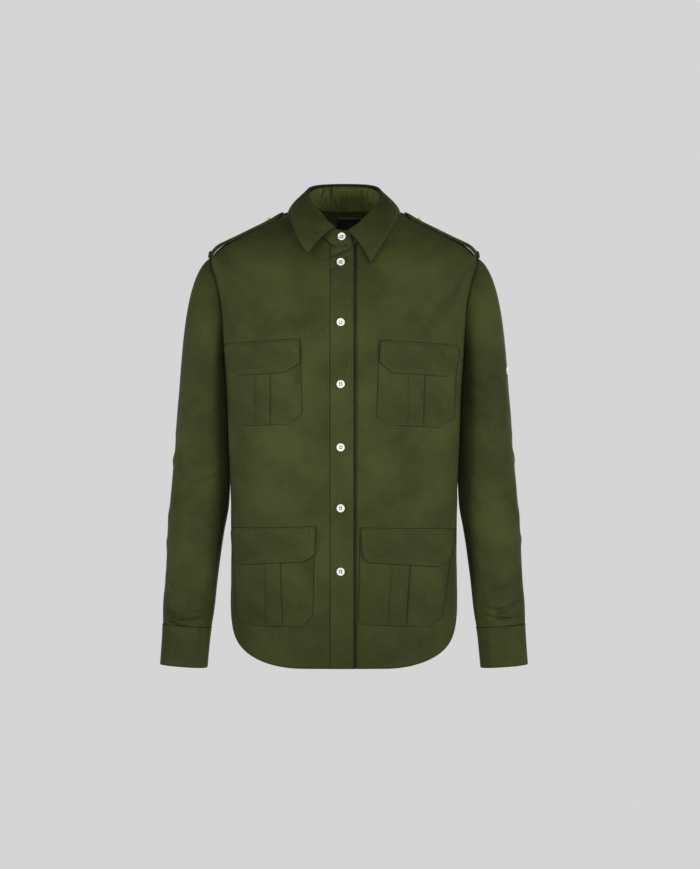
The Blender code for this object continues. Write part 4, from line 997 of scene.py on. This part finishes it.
def thread_bar(sign):
    """A bent rod between two holes: a flattened arc with an oval section."""
    along = np.linspace(-1, 1, BAR_ROWS)
    height = BAR_LOW + BAR_RISE * np.sqrt(1 - along**4)
    path = np.stack([along * HOLE_OUT * 0.72, np.full(BAR_ROWS, sign * HOLE_OUT * 0.7), height], -1)
    turns = np.linspace(0, 2 * math.pi, BAR_SIDES, endpoint=False)
    section = np.stack([np.zeros(BAR_SIDES), np.cos(turns) * 0.22, np.sin(turns) * 0.20], -1)
    return path[:, None] + section[None]


def joined(name, blocks, finish):
    """One mesh from many blocks of points and faces."""
    points, faces, start = [], [], 0
    for block, block_faces in blocks:
        points.append(block.reshape(-1, 3))
        faces.append(block_faces + start)
        start += len(points[-1])
    return add_mesh(name, np.concatenate(points), np.concatenate(faces), finish)


def set_on(node, hint):
    """Where a button lies: its solid's middle, and the direction of least spread, facing the hint."""
    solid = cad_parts[node]
    points = np.array([solid.matrix_world @ v.co for v in solid.data.vertices]) / MM
    middle = (points.max(0) + points.min(0)) / 2
    _, directions = np.linalg.eigh(np.cov((points - points.mean(0)).T))
    facing = directions[:, 0] * np.sign(directions[:, 0] @ np.array(hint, float))
    away = (points - middle) @ facing
    return middle + facing * away.min(), facing


button_mesh = drilled_button()
BUTTONS = [("button_collar", (0, -1, 0), 1.0)] + [(f"button_{i}", (0, -1, 0), 1.0) for i in range(1, 7)]
for side, name in ((-1, "right"), (1, "left")):
    BUTTONS.append((f"button_strap_{name}", (side * 0.3, 0, 1), SMALL))
    BUTTONS.append((f"button_tab_{name}", (side, 0, 0), SMALL))
    BUTTONS.append((f"button_cuff_{name}", (side, 1, 0), SMALL))

tube = grid_faces(BAR_ROWS, BAR_SIDES, True)
for number, (node, hint, size) in enumerate(BUTTONS):
    seat, facing = set_on(node, hint)
    turned = Vector(facing).to_track_quat("Z", "Y").to_matrix().to_4x4()
    spin = Matrix.Rotation(math.radians((number * 47) % 31 - 12), 4, "Z")
    place = Matrix.Translation(Vector(seat) * MM) @ turned @ spin @ Matrix.Scale(MM * size, 4)
    mesh = button_mesh.copy()
    mesh.transform(place)
    mesh.materials.clear()
    mesh.materials.append(pearl)
    mesh.shade_smooth()
    mesh.set_sharp_from_angle(angle=math.radians(40))
    made = new_object(node + "_shell", mesh)
    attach(made, "root")
    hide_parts(node)
    bars = joined(node + "_thread", [(thread_bar(1), tube), (thread_bar(-1), tube)], sewing_thread)
    bars.data.transform(Matrix.Scale(1 / MM, 4))
    bars.data.transform(place)
    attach(bars, "root")
print("buttons:", len(BUTTONS))

# %% [markdown]
# Topstitching. A lockstitch shows as short raised capsules of thread, about eight to the inch, pulled a
# little into the cloth. Bump could draw them, but real small shapes catch the light at the edge of a
# pocket. Every line follows a piece's own edge at a fixed distance, so it can't drift.

# %% Stitches
STITCH_PITCH, STITCH_LENGTH, STITCH_HALF_WIDTH, STITCH_LOOK = 3.0, 2.35, 0.30, 0.6
stitch_blocks = {}


def grid_normals(grid):
    """The cross product of the grid's own slopes along its columns and rows."""
    cross = np.cross(np.gradient(grid, axis=1), np.gradient(grid, axis=0))
    return cross / (np.linalg.norm(cross, axis=-1, keepdims=True) + 1e-12)


def from_edge(grid, edge):
    """The grid turned so that each of its rows starts at one edge."""
    return {"left": grid, "right": grid[:, ::-1], "bottom": grid.transpose(1, 0, 2),
            "top": grid[::-1].transpose(1, 0, 2)}[edge]


def walk(path):
    """The distance walked to each point of a path."""
    return np.concatenate([[0], np.cumsum(np.linalg.norm(np.diff(path, axis=0), axis=1))])


def edge_path(grid, edge, inset, trim=0.0):
    """The points of a grid at a distance in from one of its edges, read along each row or column."""
    flip, away = from_edge(grid, edge), from_edge(grid_normals(grid), edge)
    walked = lengths(flip, 1)
    after = np.clip((walked < inset).sum(1), 1, flip.shape[1] - 1)
    row = np.arange(len(flip))
    part = ((inset - walked[row, after - 1]) / (walked[row, after] - walked[row, after - 1] + 1e-9))[:, None]
    path = flip[row, after - 1] * (1 - part) + flip[row, after] * part
    out = away[row, after - 1] * (1 - part) + away[row, after] * part
    along = walk(path)
    keep = (along >= trim) & (along <= along[-1] - trim)
    return path[keep], out[keep]


def capsule():
    """A low spindle of four rings with five sides, one long and one thick."""
    stations = np.array([(-0.5, 0.35), (-0.28, 1.0), (0.28, 1.0), (0.5, 0.35)])
    turns = np.linspace(0, 2 * math.pi, 5, endpoint=False)
    rings = [np.stack([np.full(5, x), np.cos(turns) * r, np.sin(turns) * r], -1) for x, r in stations]
    return np.concatenate(rings)


CAPSULE, CAPSULE_SIDES = capsule(), grid_faces(4, 5, True)


def sew(path, out, group="body"):
    """Capsules at even distances along a path, each turned to the path and half sunk in the cloth."""
    along = walk(path)
    count = int(along[-1] / STITCH_PITCH)
    if count < 2:
        return
    at = (np.arange(count) + 0.5) * along[-1] / count
    middle, before, after, up = [
        np.stack([np.interp(where, along, values[:, i]) for i in range(3)], -1)
        for where, values in ((at, path), (at - STITCH_LOOK, path), (at + STITCH_LOOK, path), (at, out))]
    ahead = unit(after - before)
    side = unit(np.cross(up, ahead))
    up = np.cross(ahead, side)
    x, y, z = CAPSULE.T
    points = middle[:, None]
    for axis, reached in ((ahead, x * STITCH_LENGTH), (side, y * STITCH_HALF_WIDTH),
                          (up, (z * 0.7 + 0.25) * STITCH_HALF_WIDTH)):
        points = points + axis[:, None] * reached[None, :, None]
    faces = CAPSULE_SIDES[None] + (np.arange(count) * len(CAPSULE))[:, None, None]
    stitch_blocks.setdefault(group, []).append((points.reshape(-1, 3), faces.reshape(-1, 4)))


def sew_edges(piece, edges, insets, trim=1.0, group="body"):
    for edge in edges:
        for inset in insets:
            sew(*edge_path(made_pieces[piece][1], edge, inset, trim), group)


for side in ("right", "left"):
    for kind in ("chest", "lower"):
        sew_edges(f"{kind}_pocket_{side}_cloth", ("left", "right", "bottom"), (1.6,), 1.6, "pockets")
        sew_edges(f"{kind}_flap_{side}_cloth", ("left", "right", "bottom", "top"), (1.6, 6.5), 1.6, "pockets")
    sew_edges(f"cuff_{side}_cloth", ("bottom", "top"), (1.8, 6.0), 1.5, "sleeves")
    sew_edges(f"cuff_{side}_cloth", ("left", "right"), (1.8,), 1.5, "sleeves")
    sew_edges(f"sleeve_placket_{side}_cloth", ("left", "right"), (1.6,), 1.5, "sleeves")
    sew_edges(f"epaulette_{side}_cloth", ("left", "right"), (1.8, 6.0), 3.0)
    sew_edges(f"front_{side}_cloth", ("bottom",), (1.5, 6.5))
sew_edges("placket_cloth", ("left", "right"), (1.6, 6.0))
sew_edges("back_cloth", ("bottom",), (1.5, 6.5))
sew_edges("back_cloth", ("left", "right"), (1.5,))
sew_edges("yoke_cloth", ("bottom",), (1.6, 6.0))
sew_edges("collar_leaf_cloth", ("bottom", "left", "right"), (1.8, 6.0), 2.0)
sew_edges("collar_stand_cloth", ("bottom",), (1.6,), 2.0)
for group, blocks in stitch_blocks.items():
    made = joined(f"stitches_{group}", blocks, sewing_thread)
    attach(made, "root")
    print("stitches,", group, len(made.data.polygons), "faces")

# %% [markdown]
# The stage: a pale floor far below, soft boxes at both sides, in front and behind, and a long lens level
# with the middle of the shirt. The walls are the photo's own backdrop grey, and the ceiling is dark.

# %% Stage, light and camera
BACKDROP_HEX = "d5d5d5"
CAMERA_X, CAMERA_Z, CAMERA_AWAY, LENS = 0.0096, -0.354, 4.5, 116.5
FLOOR_Z, FLOOR_RADIUS = -1.45, 1.6
CEILING_HEX, CEILING_FROM, CEILING_TO = "303030", 0.18, 0.55
LIGHT_SPREAD = 60

scene = bpy.context.scene
scene.view_settings.view_transform = "Standard"
scene.view_settings.look = "None"
world = bpy.data.worlds.new("studio")
scene.world = world
world.use_nodes = True
# Grey walls all round, and a dark ceiling from where the direction's height passes CEILING_FROM
sky = world.node_tree
seen_along = add_node(sky, "ShaderNodeTexCoord").outputs["Generated"]
direction = add_node(sky, "ShaderNodeSeparateXYZ", (), {0: seen_along})
ceiling = add_node(sky, "ShaderNodeMapRange",
                   {"interpolation_type": "SMOOTHSTEP", 1: CEILING_FROM, 2: CEILING_TO},
                   {0: direction.outputs["Z"]})
shade = add_node(sky, "ShaderNodeMix", {"data_type": "RGBA"}, {0: ceiling.outputs[0]})
shade.inputs[6].default_value, shade.inputs[7].default_value = linear(BACKDROP_HEX), linear(CEILING_HEX)
sky.links.new(shade.outputs[2], sky.nodes["Background"].inputs["Color"])

floor_form = bmesh.new()
bmesh.ops.create_circle(floor_form, cap_ends=True, segments=96, radius=FLOOR_RADIUS,
                        matrix=Matrix.Translation((0, 0, FLOOR_Z)))
floor_mesh = bpy.data.meshes.new("floor")
floor_form.to_mesh(floor_mesh)
floor_form.free()
floor_mesh.materials.append(plain_material("pale studio floor", BACKDROP_HEX, 0.9, (), 0.02, 6.0))
floor = new_object("floor", floor_mesh)


def add_light(name, place, size, power):
    """A square soft box that faces the middle of the shirt."""
    light = bpy.data.lights.new(name, "AREA")
    light.size, light.energy, light.spread = size, power, math.radians(LIGHT_SPREAD)
    made = new_object(name, light)
    made.location = place
    made.rotation_euler = (Vector((0, 0, CAMERA_Z)) - Vector(place)).to_track_quat("-Z", "Y").to_euler()


add_light("key, left", (-1.45, -1.15, -0.28), 0.5, 2.5)
add_light("fill, right", (1.50, -1.25, -0.32), 1.0, 4.1)
add_light("front", (0.1, -2.2, -0.25), 0.9, 0.25)
add_light("collar", (0.0, -1.6, 0.12), 0.4, 0.65)
add_light("back", (0.6, 2.6, 0.2), 1.8, 5)

camera_data = bpy.data.cameras.new("camera")
camera_data.lens = LENS
camera = new_object("camera", camera_data)
camera.location = (CAMERA_X, -CAMERA_AWAY, CAMERA_Z)
camera.rotation_euler = (math.pi / 2, 0, 0)
scene.camera = camera
